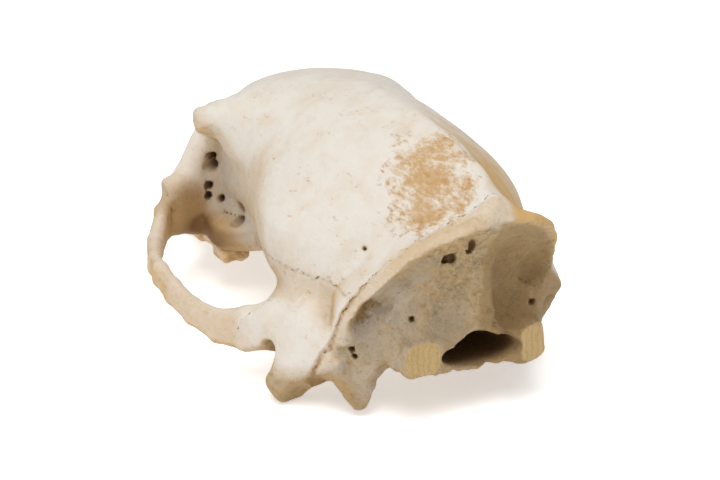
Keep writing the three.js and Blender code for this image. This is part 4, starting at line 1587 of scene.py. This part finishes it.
    @staticmethod
    def hold(piece: bpy.types.Object) -> None:
        """Sets teeth in the snout with outward faces.

        Args:
            piece: The teeth.
        """
        work = bmesh.new()
        work.from_mesh(piece.data)
        bmesh.ops.recalc_face_normals(work, faces=work.faces)
        work.to_mesh(piece.data)
        work.free()
        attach(piece, "root")
        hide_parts("snout")

    def build(self, cranium: Cranium, material: bpy.types.Material) -> bpy.types.Object:
        """Builds the cheek teeth and canines as one piece.

        Args:
            cranium: The skull that carries them.
            material: Their finish.

        Returns:
            The new object.
        """
        parts = []
        for side in Side:
            for crown in self.crowns:
                top = float(cranium.jaw.along("under", np.array([crown.y]))[0])
                parts.append(self.cheek_tooth(crown, side, top))
            parts.append(self.canine(side))
        points, faces, start = [], [], 0
        for p, f in parts:
            points.append(np.maximum(p, [-999, -999, GROUND]))
            faces += [tuple(v + start for v in face) for face in f]
            start += len(p)
        piece = mesh_object("upper_teeth", np.concatenate(points), faces, material)
        self.hold(piece)
        return piece


@dataclass(frozen=True)
class Lamp:
    """A square soft lamp: name, place in metres, size in metres and power in watts."""

    name: str
    at: Point
    size: float
    power: float


@dataclass
class Studio:
    """Pale floor, soft light and the camera behind the skull's left side."""

    camera_at: Point = (224.836, 422.998, 191.721)
    azimuth: float = 150.935
    elevation: float = 19.398
    roll: float = 1.635
    lens: float = 80.0
    sensor: float = 36.0
    paper: WhitePaper = WhitePaper()
    floor_half: float = 6.0
    # Colour of the surround, and its glow as light on the skull and as the camera sees it.
    surround: str = "FFFFFF"
    surround_glow: tuple[float, float] = (0.34, 1.0)
    lamps: tuple[Lamp, ...] = (
        Lamp("key", (0.35, 0.5, 0.95), 0.5, 4.5), Lamp("top", (0.0, 0.05, 1.2), 0.8, 4.9),
        Lamp("fill", (0.95, -0.05, 0.4), 0.7, 1.4))
    aim_at: Point = (0.0, 0.0, 0.03)

    def floor(self) -> None:
        """Lays the floor."""
        mesh = bpy.data.meshes.new("floor")
        r = self.floor_half
        mesh.from_pydata([(-r, -r, 0), (r, -r, 0), (r, r, 0), (-r, r, 0)], [], [(0, 1, 2, 3)])
        mesh.materials.append(self.paper.make())
        floor = put("floor", mesh)

    def lights(self) -> None:
        """Hangs large soft lamps and a bright surround."""
        world = bpy.data.worlds.new("surround")
        bpy.context.scene.world = world
        world.use_nodes = True
        tree = world.node_tree
        tree.nodes.clear()
        back = add_node(tree, "ShaderNodeBackground", {
            "Color": linear(self.surround), "Strength": camera_glow(tree, self.surround_glow)})
        add_node(tree, "ShaderNodeOutputWorld", {"Surface": back})
        for lamp in self.lamps:
            light = bpy.data.lights.new(lamp.name, "AREA")
            light.size = lamp.size
            light.energy = lamp.power
            holder = put(lamp.name, light)
            holder.location = lamp.at
            aim = Vector(self.aim_at) - Vector(lamp.at)
            holder.rotation_euler = aim.to_track_quat("-Z", "Y").to_euler()

    def camera(self) -> None:
        """Sets the camera at the viewing angle."""
        data = bpy.data.cameras.new("camera")
        data.lens = self.lens
        data.sensor_width = self.sensor
        data.clip_start, data.clip_end = 0.01, 50.0
        camera = put("camera", data)
        a, e, r = (math.radians(v) for v in (self.azimuth, self.elevation, self.roll))
        back = Vector((math.sin(a) * math.cos(e), -math.cos(a) * math.cos(e), math.sin(e)))
        right = Vector((math.cos(a), math.sin(a), 0.0))
        up = back.cross(right)
        right, up = right * math.cos(r) + up * math.sin(r), up * math.cos(r) - right * math.sin(r)
        turn = Matrix((right, up, back)).transposed().to_4x4()
        camera.matrix_world = Matrix.Translation(Vector(self.camera_at) * MM) @ turn
        bpy.context.scene.camera = camera

    def build(self) -> None:
        """Sets up the floor, lights and camera."""
        self.floor()
        self.lights()
        self.camera()
        bpy.context.scene.view_settings.view_transform = "Standard"


def main() -> None:
    """Builds the skull piece by piece and the studio round it."""
    logging.basicConfig(level=logging.INFO, format="%(name)s: %(message)s")
    bone_finish = DryBone().make()
    enamel = Enamel().make()
    cranium = Cranium()
    bone = cranium.fill()
    LOG.info("field of %d cells", bone.values.size)
    for which in Bone:
        piece = cranium.build(bone, which, bone_finish)
        LOG.info("%s: %d faces", piece.name, len(piece.data.polygons))
    teeth = Teeth()
    for piece in (teeth.build(cranium, enamel), teeth.front(enamel)):
        LOG.info("%s: %d faces", piece.name, len(piece.data.polygons))
    Studio().build()


if __name__ == "__main__":
    main()
